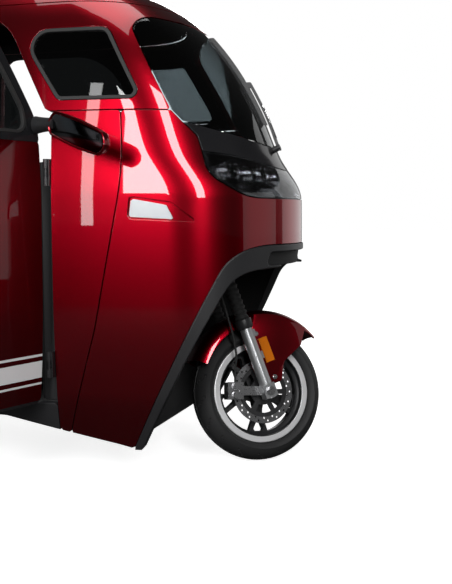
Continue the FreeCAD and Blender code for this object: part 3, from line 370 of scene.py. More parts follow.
def on_form(around, s, inset=0.0):
    """Points of the left half: around runs 0 to 5 from nose to tail, s up the skin."""
    z, nose, tail, half, corner_r, tail_r, level, upright = section(s)
    zero = np.zeros_like(z)
    front = np.array((nose - NOSE_ARC_R, zero))
    side = np.array((zero + WIDEST_X, half - SIDE_ARC_R))
    back = np.array((tail + TAIL_ARC_R, zero))
    corner = corner_centre(front, NOSE_ARC_R - corner_r, side, SIDE_ARC_R - corner_r, 1)
    rear = corner_centre(back, TAIL_ARC_R - tail_r, side, SIDE_ARC_R - tail_r, -1)
    centres = np.array((front, corner, side, rear, back))
    radii = np.array((zero + NOSE_ARC_R, corner_r, zero + SIDE_ARC_R, tail_r, zero + TAIL_ARC_R))
    turns = [zero] + [np.arctan2(*(b - a)[::-1]) for a, b in ((front, corner), (side, corner),
                                                             (side, rear), (back, rear))]
    turns = np.array(turns + [zero + math.pi])
    arc = np.clip(around.astype(int), 0, 4)
    each = np.arange(len(z))
    angle = turns[arc, each] + (around - arc) * (turns[arc + 1, each] - turns[arc, each])
    reach = radii[arc, each] - inset * level
    x = centres[arc, 0, each] + reach * np.cos(angle)
    y = centres[arc, 1, each] + reach * np.sin(angle)
    return np.stack((x, y, z - inset * upright), axis=1)


def skin_normals(around, s, inset=0.0):
    """Outward directions of the form, from small steps round and up it."""
    step = 1e-4
    top = ROW_AT[-1] - step
    s = np.clip(s, step, top)
    around = np.clip(around, step, 5 - step)
    across = on_form(around + step, s, inset) - on_form(around - step, s, inset)
    up = on_form(around, s + step, inset) - on_form(around, s - step, inset)
    normal = np.cross(across, up)
    return normal / np.linalg.norm(normal, axis=1)[:, None]


CELL = 0.0095
probe = on_form(np.array((0.0, 0.9999, 2.0, 4.0)), np.full(4, ROW_AT[3]))
print("skin length", round(float(ROW_AT[-1]), 3), "sample points", probe.round(3).tolist())

# %% [markdown]
# ## Regions and lines
# A panel's outline is drawn from the side, as straight runs with rounded corners. A region knows how
# deep inside it any point lies. Regions are combined as sets: one and another, one less another.

# %% Outlines as distances
def rounded(points, steps=9):
    """A closed line through (a, b, corner radius) points, its corners turned into arcs."""
    line = []
    count = len(points)
    for i, (a, b, radius) in enumerate(points):
        corner = Vector((a, b))
        if radius <= 0:
            line.append(corner)
            continue
        before = (Vector(points[i - 1][:2]) - corner).normalized()
        after = (Vector(points[(i + 1) % count][:2]) - corner).normalized()
        half = before.angle(after) / 2
        centre = corner + (before + after).normalized() * (radius / math.sin(half))
        start = corner + before * (radius / math.tan(half)) - centre
        turn = (math.pi - 2 * half) * (1 if before.cross(after) < 0 else -1)
        for k in range(steps + 1):
            line.append(centre + Matrix.Rotation(turn * k / steps, 2) @ start)
    return np.array([tuple(p) for p in line])


def metres(outline):
    return [(a / 1000, b / 1000, r / 1000) for a, b, r in outline]


class Region:
    """A set of points that can say how deep inside it a point lies."""

    def __init__(self, depth):
        self.depth = depth

    def __and__(self, other):
        return Region(lambda p: np.minimum(self.depth(p), other.depth(p)))

    def __sub__(self, other):
        return Region(lambda p: np.minimum(self.depth(p), -other.depth(p)))

    def grown(self, by):
        return Region(lambda p: self.depth(p) + by)


def seen(points, axes=(0, 2)):
    """The region inside an outline, seen from the side, or from behind with axes (1, 2)."""
    start = rounded(metres(points))
    run = np.roll(start, -1, axis=0) - start

    def depth(p):
        at = p[:, axes][:, None, :] - start
        share = np.clip((at * run).sum(2) / np.maximum((run ** 2).sum(1), 1e-12), 0, 1)
        distance = np.linalg.norm(at - share[:, :, None] * run, axis=2).min(1)
        end = at - run
        crosses = (at[:, :, 1] > 0) != (end[:, :, 1] > 0)
        beyond = at[:, :, 0] * end[:, :, 1] - at[:, :, 1] * end[:, :, 0]
        hits = crosses & ((beyond > 0) == (run[:, 1] > 0))
        return np.where(hits.sum(1) % 2 == 1, distance, -distance)

    return Region(depth)


def slab(axis, low, high):
    """Everything between two values along one axis."""
    return Region(lambda p: np.minimum(p[:, axis] - low, high - p[:, axis]))

# %% [markdown]
# ## Cutting a panel from the form
# The flat grid of addresses is trimmed along its region: grid points close to the line are moved
# onto it, the edges that still cross it are split, and what lies outside is deleted. The rest is
# laid on the form, given its thickness by an extrusion, mirrored where it is one piece across the
# middle, and its outer rim is bevelled. The true direction of the form is kept at each outer point,
# so the gloss runs smoothly up to the rim.

# %% The panel builder
ARC_CELLS = (32, 36, 150, 22, 34)
AROUND = np.concatenate([k + np.arange(n) / n for k, n in enumerate(ARC_CELLS)] + [[5.0]])
UP = np.linspace(0.0, ROW_AT[-1], round(ROW_AT[-1] / CELL))
SNAP = 0.25


def flat_point(vert):
    return (vert.co.x, vert.co.y)


def trim(bm, region, inset):
    """Cuts a flat grid of addresses along a region and deletes what lies outside."""
    def depth(pairs):
        pairs = np.array(pairs)
        return region.depth(on_form(pairs[:, 0], pairs[:, 1], inset))

    verts = list(bm.verts)
    value = dict(zip(verts, depth([flat_point(v) for v in verts])))
    crossing = [e for e in bm.edges if value[e.verts[0]] * value[e.verts[1]] < 0]
    a = np.array([flat_point(e.verts[0]) for e in crossing])
    b = np.array([flat_point(e.verts[1]) for e in crossing])
    sign = np.sign([value[e.verts[0]] for e in crossing])
    low, high = np.zeros(len(crossing)), np.ones(len(crossing))
    for _ in range(12):
        middle = (low + high) / 2
        same = np.sign(depth(a + (b - a) * middle[:, None])) == sign
        low, high = np.where(same, middle, low), np.where(same, high, middle)
    share = (low + high) / 2
    hit = a + (b - a) * share[:, None]
    for i in np.argsort(np.minimum(share, 1 - share)):
        near = crossing[i].verts[0 if share[i] < 0.5 else 1]
        if min(share[i], 1 - share[i]) < SNAP and value[near] != 0:
            near.co.xy = hit[i]
            value[near] = 0.0
    for i, edge in enumerate(crossing):
        first, second = edge.verts
        if value[first] * value[second] < 0:
            new = bmesh.utils.edge_split(edge, first, float(share[i]))[1]
            new.co.xy = hit[i]
            value[new] = 0.0
    cut = [v for v in bm.verts if value[v] == 0]
    bmesh.ops.connect_verts(bm, verts=cut)
    unsure = [f for f in bm.faces if all(value[v] == 0 for v in f.verts)]
    outside = [f for f in bm.faces if any(value[v] < 0 for v in f.verts)]
    if unsure:
        middles = depth([tuple(f.calc_center_median().xy) for f in unsure])
        outside += [f for f, d in zip(unsure, middles) if d < 0]
    bmesh.ops.delete(bm, geom=outside, context="FACES")


def flat_grid(region, inset, every):
    """The part of the address grid that a region reaches, with every so many of its lines."""
    around, up = (np.append(lines[:-1:every], lines[-1]) for lines in (AROUND, UP))
    a, s = np.meshgrid(around, up, indexing="ij")
    near = region.depth(on_form(a.ravel(), s.ravel(), inset)).reshape(a.shape) > -CELL * every
    rows, columns = np.nonzero(near.any(1))[0], np.nonzero(near.any(0))[0]
    i0, i1 = max(rows[0] - 1, 0), min(rows[-1] + 1, len(around) - 1)
    j0, j1 = max(columns[0] - 1, 0), min(columns[-1] + 1, len(up) - 1)
    bm = bmesh.new()
    bmesh.ops.create_grid(bm, x_segments=i1 - i0, y_segments=j1 - j0, size=1.0)
    for v in bm.verts:
        i = i0 + (v.co.x + 1) / 2 * (i1 - i0)
        j = j0 + (v.co.y + 1) / 2 * (j1 - j0)
        v.co.xy = (around[round(i)], up[round(j)])
    return bm


def lay_on_form(bm, outer, inner, normal_layer):
    """Moves flat points to the form; those lifted by the extrusion go to the inner face."""
    verts = list(bm.verts)
    flat = np.array([tuple(v.co) for v in verts])
    inset = outer + (inner - outer) * (flat[:, 2] > 0.5)
    place = np.array([on_form(flat[:, 0], flat[:, 1], i) for i in (outer, inner)])
    lifted = (inset == inner).astype(int)
    spot = place[lifted, np.arange(len(verts))]
    normal = skin_normals(flat[:, 0], flat[:, 1], outer) * np.where(lifted, -1.0, 1.0)[:, None]
    for v, p, n in zip(verts, spot, normal):
        v.co = p
        v[normal_layer] = n


OUTER, INNER, RIM, EDGE = 1, 2, 3, 4


def panel_mesh(region, outer, inner, halves, bevel, every):
    """A closed panel on the form, as mesh data in the closed position."""
    bm = flat_grid(region, outer, every)
    trim(bm, region, outer)
    side = bm.faces.layers.int.new("side")
    direction = bm.verts.layers.float_vector.new("direction")
    start = list(bm.faces)
    for f in start:
        f[side] = OUTER
    made = bmesh.ops.extrude_face_region(bm, geom=start, use_keep_orig=True)["geom"]
    for item in made:
        if isinstance(item, bmesh.types.BMVert):
            item.co.z = 1.0
    for f in bm.faces:
        heights = {v.co.z for v in f.verts}
        f[side] = RIM if len(heights) > 1 else (INNER if 1.0 in heights else OUTER)
    crown = [f for f in bm.faces if f[side] == RIM and all(v.co.y > UP[-1] - 1e-6 for v in f.verts)]
    bmesh.ops.delete(bm, geom=crown, context="FACES_ONLY")
    lay_on_form(bm, outer, inner, direction)
    middle = [f for f in bm.faces if f[side] == RIM and all(abs(v.co.y) < 1e-4 for v in f.verts)]
    if halves == "both":
        bmesh.ops.delete(bm, geom=middle, context="FACES")
        if middle:
            for v in bm.verts:
                if abs(v.co.y) < 1e-4:
                    v.co.y = 0.0
        geometry = bm.verts[:] + bm.edges[:] + bm.faces[:]
        bmesh.ops.mirror(bm, geom=geometry, axis="Y", merge_dist=1e-5)
    if halves == "right":
        for v in bm.verts:
            v.co.y = -v.co.y
    if crown:
        open_edges = [e for e in bm.edges if e.is_boundary]
        for f in bmesh.ops.holes_fill(bm, edges=open_edges, sides=0)["faces"]:
            f[side] = OUTER if f.calc_center_median().z > SECTIONS[-1, 0] - WALL / 2 else INNER
    bmesh.ops.recalc_face_normals(bm, faces=bm.faces[:])
    for v in bm.verts:
        inward = -1.0 if all(f[side] != OUTER for f in v.link_faces) else 1.0
        v[direction] = (v[direction].x, math.copysign(v[direction].y, v.co.y * inward), v[direction].z)
    outer_faces = [f for f in bm.faces if f[side] == OUTER]
    if sum(f.normal.dot(f.verts[0][direction]) for f in outer_faces) < 0:
        bmesh.ops.reverse_faces(bm, faces=bm.faces[:])
    if bevel:
        rims = [e for e in bm.edges if {f[side] for f in e.link_faces} == {OUTER, RIM}]
        cut = bmesh.ops.bevel(bm, geom=rims, offset=bevel, segments=2, profile=0.5, affect="EDGES",
                              material=-1)
        for f in cut["faces"]:
            f[side] = EDGE
    for e in bm.edges:
        sides = {f[side] for f in e.link_faces}
        e.smooth = not (INNER in sides and len(sides) > 1)
    for f in bm.faces:
        f.smooth = True
        f.material_index = 1 if f[side] == INNER else 0
    return bm


def keep_directions(mesh):
    """Uses the form's own directions as shading normals on a panel's faces."""
    sides = np.empty(len(mesh.polygons), dtype=np.int32)
    mesh.attributes["side"].data.foreach_get("value", sides)
    stored = np.empty(len(mesh.vertices) * 3, dtype=np.float32)
    mesh.attributes["direction"].data.foreach_get("vector", stored)
    stored = stored.reshape(-1, 3)
    corners = np.empty(len(mesh.loops), dtype=np.int32)
    mesh.loops.foreach_get("vertex_index", corners)
    counts = np.empty(len(mesh.polygons), dtype=np.int32)
    mesh.polygons.foreach_get("loop_total", counts)
    side_of_corner = np.repeat(sides, counts)
    on_face = np.zeros(len(mesh.vertices), dtype=bool)
    on_face[corners[side_of_corner == OUTER]] = True
    use = (side_of_corner == OUTER) | (side_of_corner == INNER)
    use |= (side_of_corner == EDGE) & on_face[corners]
    normals = np.where(use[:, None], stored[corners], 0.0)
    mesh.normals_split_custom_set(normals.tolist())
    mesh.attributes.remove(mesh.attributes["side"])
    mesh.attributes.remove(mesh.attributes["direction"])


def add_piece(name, mesh, keys, slot, body, *stands_for):
    """Links one piece, gives it its finishes and lets it ride on its body."""
    for key in keys:
        mesh.materials.append(finishes[key])
    piece = bpy.data.objects.new(name, mesh)
    bpy.context.scene.collection.objects.link(piece)
    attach(piece, body)
    if stands_for:
        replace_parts(piece, *stands_for)
    return piece


def panel(name, region, keys, slot, body="chassis", stands_for=(), outer=0.0, inner=WALL, halves="both",
          bevel=0.0012, place=SHIFT, gap=0.0, every=1):
    bm = panel_mesh(region.grown(-gap), outer, inner, halves, bevel, every)
    mesh = bpy.data.meshes.new(name)
    bm.to_mesh(mesh)
    bm.free()
    keep_directions(mesh)
    mesh.transform(place)
    print(name, "faces", len(mesh.polygons))
    return add_piece(name, mesh, keys, slot, body, *stands_for)

# %% [markdown]
# ## The panels
# The lines below are the real shut lines of such a body, in millimetres as they are drawn: the
# lower edge of the red nose, the band under it, the edges of the lamp glass and the windscreen, the
# seam to the side fairing, and the door.

# %% Shut lines, seen from the side in millimetres
RED_EDGE = [(-345, 45, 0), (16, 783, 150), (300, 783, 0)]
BAND_EDGE = [(-325, 30, 0), (22, 697, 110), (300, 725, 0)]
LENS_EDGE = [(300, 934, 0), (50, 938, 110), (-64, 1012, 110), (-104, 1132, 50), (-182, 1215, 0)]
SCREEN_EDGE = [(-182, 1215, 0), (-352, 1530, 40), (300, 1530, 0)]
COWL_TOP = [(-700, 1330, 0), (0, 1140, 400), (300, 1004, 0)]
COWL_BOTTOM = [(-700, 1132, 0), (10, 1076, 400), (300, 948, 0)]
SEAM = [(-335, 1215, 0), (-323, 1029, 900), (-424, 513, 900), (-530, 150, 0)]
NOSE_BOTTOM = [(-300, 108, 0), (-365, 124, 30), (-760, 205, 60), (-1400, 205, 0)]
DOOR_FRONT, DOOR_REAR, DOOR_LOW, DOOR_TOP = -596, -1285, 266, 1540
BELT = 1113
DOOR_GAP, DOOR_FRONT_GAP = 7, 30
BODY_EDGE = DOOR_FRONT + DOOR_FRONT_GAP
REAR_EDGE = DOOR_REAR - DOOR_GAP
ROOF_RAIL = 1575


def door_line(front, gap):
    f, r, b, t = DOOR_FRONT + front, DOOR_REAR - gap, DOOR_LOW - gap, DOOR_TOP + gap
    return [(f, b, 25), (r, b, 60), (r, BELT + 50, 300), (r + 55, t, 110), (-790 + front, t, 200),
            (f, 1175, 200)]


def above(line):
    return seen(line + [(line[-1][0], 1900, 0), (line[0][0], 1900, 0)])


window_line = [(-641, BELT + 24, 40), (-1237, BELT + 24, 40), (-1185, 1496, 80), (-805, 1496, 120),
               (-649, 1215, 60)]
front_light = seen([(-268, 1250, 25), (-548, 1250, 25), (-705, 1484, 60), (-395, 1484, 40)])
rear_light = seen([(REAR_EDGE - 52, 1150, 35), (-1730, 1150, 70), (-1590, 1410, 150),
                   (-1500, 1490, 60), (-1290, 1490, 40)])
rear_window = seen([(-330, 1160, 60), (330, 1160, 60), (285, 1470, 90), (-285, 1470, 90)], (1, 2))
behind = slab(0, -2.3, -1.56)
low_cut = seen(NOSE_BOTTOM + [(-1400, -200, 0), (-300, -200, 0)])
nose = seen(RED_EDGE + LENS_EDGE + SEAM + [(-560, 45, 0)]) - low_cut
pocket = seen([(-309, 872, 6), (-92, 862, 3), (-170, 921, 8), (-302, 939, 6)])
indicator = seen([(-305, 876, 4), (-160, 868, 4), (-185, 914, 4), (-298, 934, 4)])
air_slot = seen([(-235, 717, 10), (235, 717, 10), (215, 759, 14), (-215, 759, 14)], (1, 2))
air_slot = air_slot & slab(0, 0.0, 0.4)
fairing = seen(SEAM[::-1] + [(BODY_EDGE, 1215, 0), (BODY_EDGE, 100, 0), (-530, 100, 0)]) - low_cut
band = seen(BAND_EDGE + [(300, 783, 0)] + RED_EDGE[1::-1]) & slab(2, 0.108, 2.0)
front_glass = seen(LENS_EDGE + SCREEN_EDGE[1:])
cabin = seen([(-182, 1215, 0)] + SCREEN_EDGE[1:] + [(300, ROOF_RAIL, 0), (-2200, ROOF_RAIL, 0),
             (-2200, BELT, 0), (REAR_EDGE, BELT, 0), (REAR_EDGE, 1215, 0)])
door_hole = seen(door_line(DOOR_FRONT_GAP, DOOR_GAP))
door = seen(door_line(0, 0))
window = seen(window_line)
belt_up = slab(2, BELT / 1000, 2.0)
print("regions ready")

# %% The front of the body
SHUT = 0.0012
panel("nose_shell", nose - pocket, ("red", "liner"), "red_paint", stands_for=("nose_panel",), gap=SHUT,
      bevel=0.0022)
panel("indicator_pocket", pocket.grown(0.002), ("red", "liner"), "red_paint", outer=0.009, inner=WALL)
panel("indicator_lens", indicator, ("indicator", "reflector"), "clear_lens", stands_for=("side_indicators",),
      outer=0.0012, inner=0.0085, bevel=0.0016)
panel("fairing_shell", fairing, ("red", "liner"), "red_paint", stands_for=("side_fairings",), gap=SHUT)
panel("nose_band", band - air_slot, ("black", "liner"), "black_trim", stands_for=("front_trim",),
      outer=-0.005, gap=0.0005, bevel=0.004)
panel("slot_floor", air_slot.grown(0.003), ("liner", "liner"), "black_trim", outer=0.016, inner=WALL)
panel("cowl_panel", (front_glass - above(COWL_TOP)) & above(COWL_BOTTOM), ("gloss_black", "liner"),
      "black_trim", stands_for=("cowl",), inner=0.02, gap=SHUT)
panel("screen_glass", front_glass & above(COWL_TOP), ("tinted", "tinted"), "dark_glass",
      stands_for=("windscreen",), outer=0.003, inner=0.008, gap=SHUT)
panel("lamp_lens", front_glass - above(COWL_BOTTOM), ("lens_grey", "lens_grey"), "clear_lens",
      stands_for=("headlamp_lens",), outer=0.001, inner=0.006, gap=SHUT)

# %% The cabin and the tail
cabin_wall = cabin - door_hole - front_light - rear_light - (rear_window & behind)
panel("cabin_pillars", cabin_wall, ("red", "liner"), "red_paint", stands_for=("cabin_frame",), gap=SHUT)
ARCH_R = 0.290
arch_line = Region(lambda p: ARCH_R - np.hypot(p[:, 0] - REAR_HUB.x, p[:, 2] - REAR_HUB.z))
bumper_zone = slab(0, -2.3, -1.88) & slab(2, 0.205, 0.425)
lid_zone, lid_shape = (seen([(-y, low, 45), (y, low, 45), (y, high, 45), (-y, high, 45)], (1, 2))
                       & slab(0, -2.3, -1.7) for y, low, high in ((306, 514, 991), (300, 520, 985)))
lamp_zone = (seen([(345, 640, 14), (600, 640, 0), (600, 905, 0), (345, 905, 14)], (1, 2))
             & slab(0, -2.3, -1.78) & slab(1, 0.0, 0.52))
tail = slab(0, -2.3, REAR_EDGE / 1000) & slab(2, 0.205, BELT / 1000)
panel("tail_shell", tail - arch_line - bumper_zone - lid_zone - lamp_zone, ("red", "liner"), "red_paint",
      stands_for=("rear_body",), gap=SHUT)
panel("tail_bumper", bumper_zone - arch_line, ("black", "liner"), "black_trim", stands_for=("rear_bumper",),
      outer=-0.004, gap=SHUT, bevel=0.004)
panel("boot_door", lid_shape, ("red", "liner"), "red_paint", body="boot_lid", stands_for=("boot_lid",))
panel("tail_lenses", lamp_zone, ("red_lens", "red_lens"), "red_lens", stands_for=("tail_lamps",), inner=0.02,
      gap=SHUT)
sill = slab(0, REAR_EDGE / 1000, BODY_EDGE / 1000) & slab(2, 0.1, 0.259)
panel("sill_shell", sill - low_cut, ("black", "liner"), "black_trim", stands_for=("sills",), gap=SHUT)
roof_part = slab(2, ROOF_RAIL / 1000, 2.0)
panel("roof_shell", roof_part, ("red", "liner"), "red_paint", stands_for=("roof",), gap=SHUT, every=2)
for title, hole in (("front_quarter", front_light), ("rear_quarter", rear_light),
                    ("rear", rear_window & behind)):
    panel(title + "_window", hole, ("tinted", "tinted"), "dark_glass", stands_for=("fixed_windows",),
          outer=0.004, inner=0.009, gap=0.0005)
    panel(title + "_seal", hole - hole.grown(-0.011), ("rubber", "rubber"), "soft_rubber", outer=-0.0015,
          inner=0.006)

# %% The doors, closed on the form and then swung open
for title, half, swing in (("right", "right", OPEN), ("left", "left", MIRROR @ OPEN @ MIRROR)):
    where = SHIFT @ swing
    side = title + "_door"
    panel(side + "_outer", door - belt_up, ("door_red", "liner"), "red_paint", side,
          (side + "_skin",), inner=0.008, halves=half, place=where)
    panel(side + "_inner", door - window, ("black", "liner"), "black_trim", side,
          (side + "_frame",), outer=0.0082, inner=0.027, halves=half, place=where, bevel=0.004)
    panel(side + "_upper", (door & belt_up) - window, ("gloss_black", "liner"), "black_trim", side,
          outer=0.0, inner=0.008, halves=half, place=where)
    panel(side + "_pane", window.grown(0.006), ("tinted", "tinted"), "dark_glass", side,
          (side + "_glass",), outer=0.012, inner=0.017, halves=half, place=where, bevel=0.0)
    panel(side + "_seal", window - window.grown(-0.010), ("rubber", "rubber"), "soft_rubber", side,
          outer=-0.0015, inner=0.012, halves=half, place=where)
# %% [markdown]
# ## Pieces swept through rings
# A mirror shell, a fender or a cushion is a skin through a row of rings. Each ring starts as a circle
# whose points are moved onto the section wanted there, and neighbouring rings are bridged. Wheels
# are spun instead: one section goes once round the axle.

# %% Ring and spin helpers
def turns(count):
    """Angles spread evenly over one full turn."""
    return [2 * math.pi * k / count for k in range(count)]


def ring_stack(rings, endless=False):
    """A skin through rings of equal point counts, capped at both ends or joined end to end."""
    bm = bmesh.new()
    loops = []
    for k, ring in enumerate(rings):
        capped = not endless and k in (0, len(rings) - 1)
        verts = bmesh.ops.create_circle(bm, cap_ends=capped, segments=len(ring), radius=1.0)["verts"]
        for vert, point in zip(verts, ring):
            vert.co = point
        loops.append({e for v in verts for e in v.link_edges})
    for low, high in zip(loops, loops[1:] + loops[:1] if endless else loops[1:]):
        bmesh.ops.bridge_loops(bm, edges=list(low | high))
    bmesh.ops.recalc_face_normals(bm, faces=bm.faces[:])
    return bm


def spun(section, steps, centre=(0.0, 0.0, 0.0), axis="Y"):
    """A section of (radius, along) points turned once round an axis."""
    bm = bmesh.new()
    verts = bmesh.ops.create_circle(bm, segments=len(section), radius=1.0)["verts"]
    for vert, (radius, along) in zip(verts, section):
        vert.co = (radius, along, 0.0) if axis == "Y" else (radius, 0.0, along)
    direction = (0.0, 1.0, 0.0) if axis == "Y" else (0.0, 0.0, 1.0)
    bmesh.ops.spin(bm, geom=bm.verts[:] + bm.edges[:], cent=(0, 0, 0), axis=direction, angle=2 * math.pi,
                   steps=steps, use_merge=True)
    bmesh.ops.remove_doubles(bm, verts=bm.verts[:], dist=1e-6)
    bmesh.ops.translate(bm, verts=bm.verts[:], vec=centre)
    bmesh.ops.recalc_face_normals(bm, faces=bm.faces[:])
    return bm


def set_at(bm, place, direction):
    """Turns a piece made along Z into a direction and moves it to its place."""
    turn = Vector((0, 0, 1)).rotation_difference(Vector(direction)).to_matrix().to_4x4()
    bmesh.ops.transform(bm, matrix=Matrix.Translation(place) @ turn, verts=bm.verts[:])
    return bm


def drawn(outline, steps=5):
    """The points of an outline given in millimetres, and their middle."""
    line = [Vector(p) for p in rounded(metres(outline), steps)]
    return line, sum(line, Vector((0.0, 0.0))) / len(line)


def inward(point, middle, by):
    return point + (middle - point).normalized() * by


def keep_piece(name, bm, keys, slot, body, *stands_for, place=SHIFT, sharp=35.0):
    """Turns a bmesh into a finished piece in its place."""
    for f in bm.faces:
        f.smooth = True
    mesh = bpy.data.meshes.new(name)
    bm.to_mesh(mesh)
    bm.free()
    mesh.transform(place)
    if place.to_3x3().determinant() < 0:
        mesh.flip_normals()
    mesh.set_sharp_from_angle(angle=math.radians(sharp))
    print(name, "faces", len(mesh.polygons))
    return add_piece(name, mesh, keys, slot, body, *stands_for)


def merged(parts):
    """Several bmeshes as one."""
    whole = bmesh.new()
    for part in parts:
        mesh = bpy.data.meshes.new("part")
        part.to_mesh(mesh)
        part.free()
        whole.from_mesh(mesh)
        bpy.data.meshes.remove(mesh)
    return whole


def on_fork(forward, s, y):
    """A point of the fork: forward of the leg, s above the hub along it, y to the left."""
    return HUB + AXIS_NORMAL * forward + AXIS_DIR * s + Vector((0.0, y, 0.0))


# %% [markdown]
# ## Tyres
# The section has flat beads, a bulging wall and a round crown. After the spin, a slanted pattern of
# faces on the crown is inset and pushed in to make the tread grooves.

# %% Tyres
TYRE_WIDTH, CROWN_R, BEAD_R, BEAD_HALF = 0.130, 0.075, 0.166, 0.042
TREAD_STEPS = 216
tyre_line = [(BEAD_R, -BEAD_HALF), (0.184, -BEAD_HALF), (0.186, -0.050), (0.191, -0.0575), (0.197, -0.0615),
             (0.203, -0.0640)]
for k in range(19):
    turn = math.radians(-62 + 124 * k / 18)
    tyre_line.append((TYRE_R - CROWN_R + CROWN_R * math.cos(turn), CROWN_R * math.sin(turn)))
tyre_line += [(r, -y) for r, y in reversed(tyre_line[:6])]


def tread_face(face):
    """True for the faces that a groove goes through."""
    x, y, z = face.calc_center_median()
    reach = math.hypot(x, z)
    if reach < TYRE_R - 0.030 or reach > TYRE_R + 0.001 or abs(y) > 0.055 or abs(y) < 0.004:
        return False
    step = math.floor((math.atan2(z, x) / (2 * math.pi) + 0.5) * TREAD_STEPS)
    lane = round(abs(y) / 0.0062)
    return (step + lane + (6 if y > 0 else 0)) % 12 == 0 or (abs(abs(y) - 0.0135) < 0.004)


def tyre_mesh():
    bm = spun(tyre_line, TREAD_STEPS)
    grooves = [f for f in bm.faces if tread_face(f)]
    bmesh.ops.inset_region(bm, faces=grooves, thickness=0.0009, depth=-0.0032, use_even_offset=True)
    return bm


keep_piece("front_tyre_tread", tyre_mesh(), ("tyre",), "tyre_rubber", "front_wheel", "front_tyre",
           place=SHIFT @ STEER @ Matrix.Translation(HUB), sharp=28)
REAR_TRACK = 0.730
for title, y in (("rear_left", REAR_TRACK / 2), ("rear_right", -REAR_TRACK / 2)):
    keep_piece(title + "_tyre_tread", tyre_mesh(), ("tyre",), "tyre_rubber", title + "_wheel",
               title + "_tyre", place=SHIFT @ Matrix.Translation(REAR_HUB + Vector((0.0, y, 0.0))), sharp=28)

# %% [markdown]
# ## Fender
# The arch is one section carried round the tyre. Towards its front end the section narrows and its
# skirts get shorter, which gives the pointed tip. A plate on each side runs down to the fork leg.

# %% Front fender
FENDER_R, FENDER_HALF = 0.288, 0.076
FENDER_CENTRE = HUB + Vector((0.012, 0.0, 0.010))


def fender_section(turn):
    """The arch's section at an angle above forward: outside first, then inside."""
    near = min(1.0, max(0.0, (turn - math.radians(42)) / math.radians(30)))
    ease = near * near * (3 - 2 * near)
    half = FENDER_HALF * (0.62 + 0.38 * ease ** 0.7)
    skirt = 0.012 + 0.034 * ease
    points = []
    for k in range(25):
        u = -1 + 2 * k / 24
        y = half * math.copysign(1 - (1 - abs(u)) ** 1.35, u)
        drop = skirt * abs(u) ** 3.2
        points.append((FENDER_R - drop, y))
    inside = [(r - 0.0035, y * (1 - 0.0035 / half)) for r, y in reversed(points)]
    return [FENDER_CENTRE + Vector((r * math.cos(turn), y, r * math.sin(turn))) for r, y in points + inside]


fender = ring_stack([fender_section(math.radians(43 + 117 * k / 56)) for k in range(57)])
keep_piece("fender_arch", fender, ("red",), "red_paint", "steering", "front_fender", place=SHIFT @ STEER)


def plate_line():
    """Outline of a side plate in (forward, along) of the fork, its top following the arch."""
    low = [(-12, 60, 8), (20, 12, 10), (74, 12, 12), (108, 72, 30), (196, 106, 12)]
    top = []
    for k in range(13):
        turn = math.radians(56 + 45 * k / 12)
        offset = Vector((0.012 + 0.268 * math.cos(turn), 0.0, 0.010 + 0.268 * math.sin(turn)))
        top.append((offset.dot(AXIS_NORMAL) * 1000, offset.dot(AXIS_DIR) * 1000, 0))
    return low + top + [(34, 222, 8), (-12, 214, 8)]


plate, middle = drawn(plate_line())
plates = []
for side in (-1, 1):
    rings = []
    for y, shrink in ((0.0715, 0.0), (0.0790, 0.0), (0.0800, 0.0006), (0.0803, 0.002)):
        rings.append([on_fork(*inward(p, middle, shrink), side * y) for p in plate])
    plates.append(ring_stack(rings))
keep_piece("fender_plates", merged(plates), ("red",), "red_paint", "steering", place=SHIFT @ STEER)

# %% Bolts on the fender plates, and the rings on the fork
def bolt(radius, length):
    """A domed bolt head on a washer."""
    line = ((0.0, 0.0), (1.35, 0.0), (1.35, 0.25), (1.0, 0.3), (1.0, 0.75), (0.75, 1.0), (0.45, 1.0),
            (0.4, 0.7), (0.0, 0.7))
    return spun([(radius * r, length * h) for r, h in line], 24, axis="Z")


bolts = []
for side in (-1, 1):
    for forward, s in ((0.042, 0.202), (0.054, 0.034)):
        bolts.append(set_at(bolt(0.0065, 0.005), on_fork(forward, s, side * 0.0803), (0, side, 0)))
keep_piece("fender_bolts", merged(bolts), ("steel",), "black_steel", "steering", place=SHIFT @ STEER,
           sharp=30)

cap_line = [(0.0222, 0.232), (0.0275, 0.232), (0.0305, 0.238), (0.0310, 0.262), (0.0300, 0.2655),
            (0.0222, 0.2655)]
caps = [set_at(spun(cap_line, 48, axis="Z"), on_fork(0.0, 0.0, side * LEG_SPREAD), AXIS_DIR)
        for side in (-1, 1)]
keep_piece("fork_seal_rings", merged(caps), ("black",), "black_trim", "steering", place=SHIFT @ STEER)

# %% [markdown]
# ## Mirrors
# Each head is a row of flattened rings from the glass side to the domed back. The glass is a thin
# plate of its own, set back from the rim. The head droops outward and is carried by a short arm.

# %% Door mirrors
MIRROR_AT = Vector((-0.622, -0.675, 1.128))
MIRROR_HALF, MIRROR_RISE = 0.128, 0.043


def oval(x, shrink, count=64):
    half, rise = MIRROR_HALF - shrink, MIRROR_RISE - shrink
    points = []
    for a in turns(count):
        y = (half - rise) * max(-1.0, min(1.0, 2.2 * math.cos(a))) + rise * math.cos(a)
        points.append(Vector((x, y, rise * math.sin(a) * (1 - 0.10 * max(0.0, -math.cos(a))))))
    return points


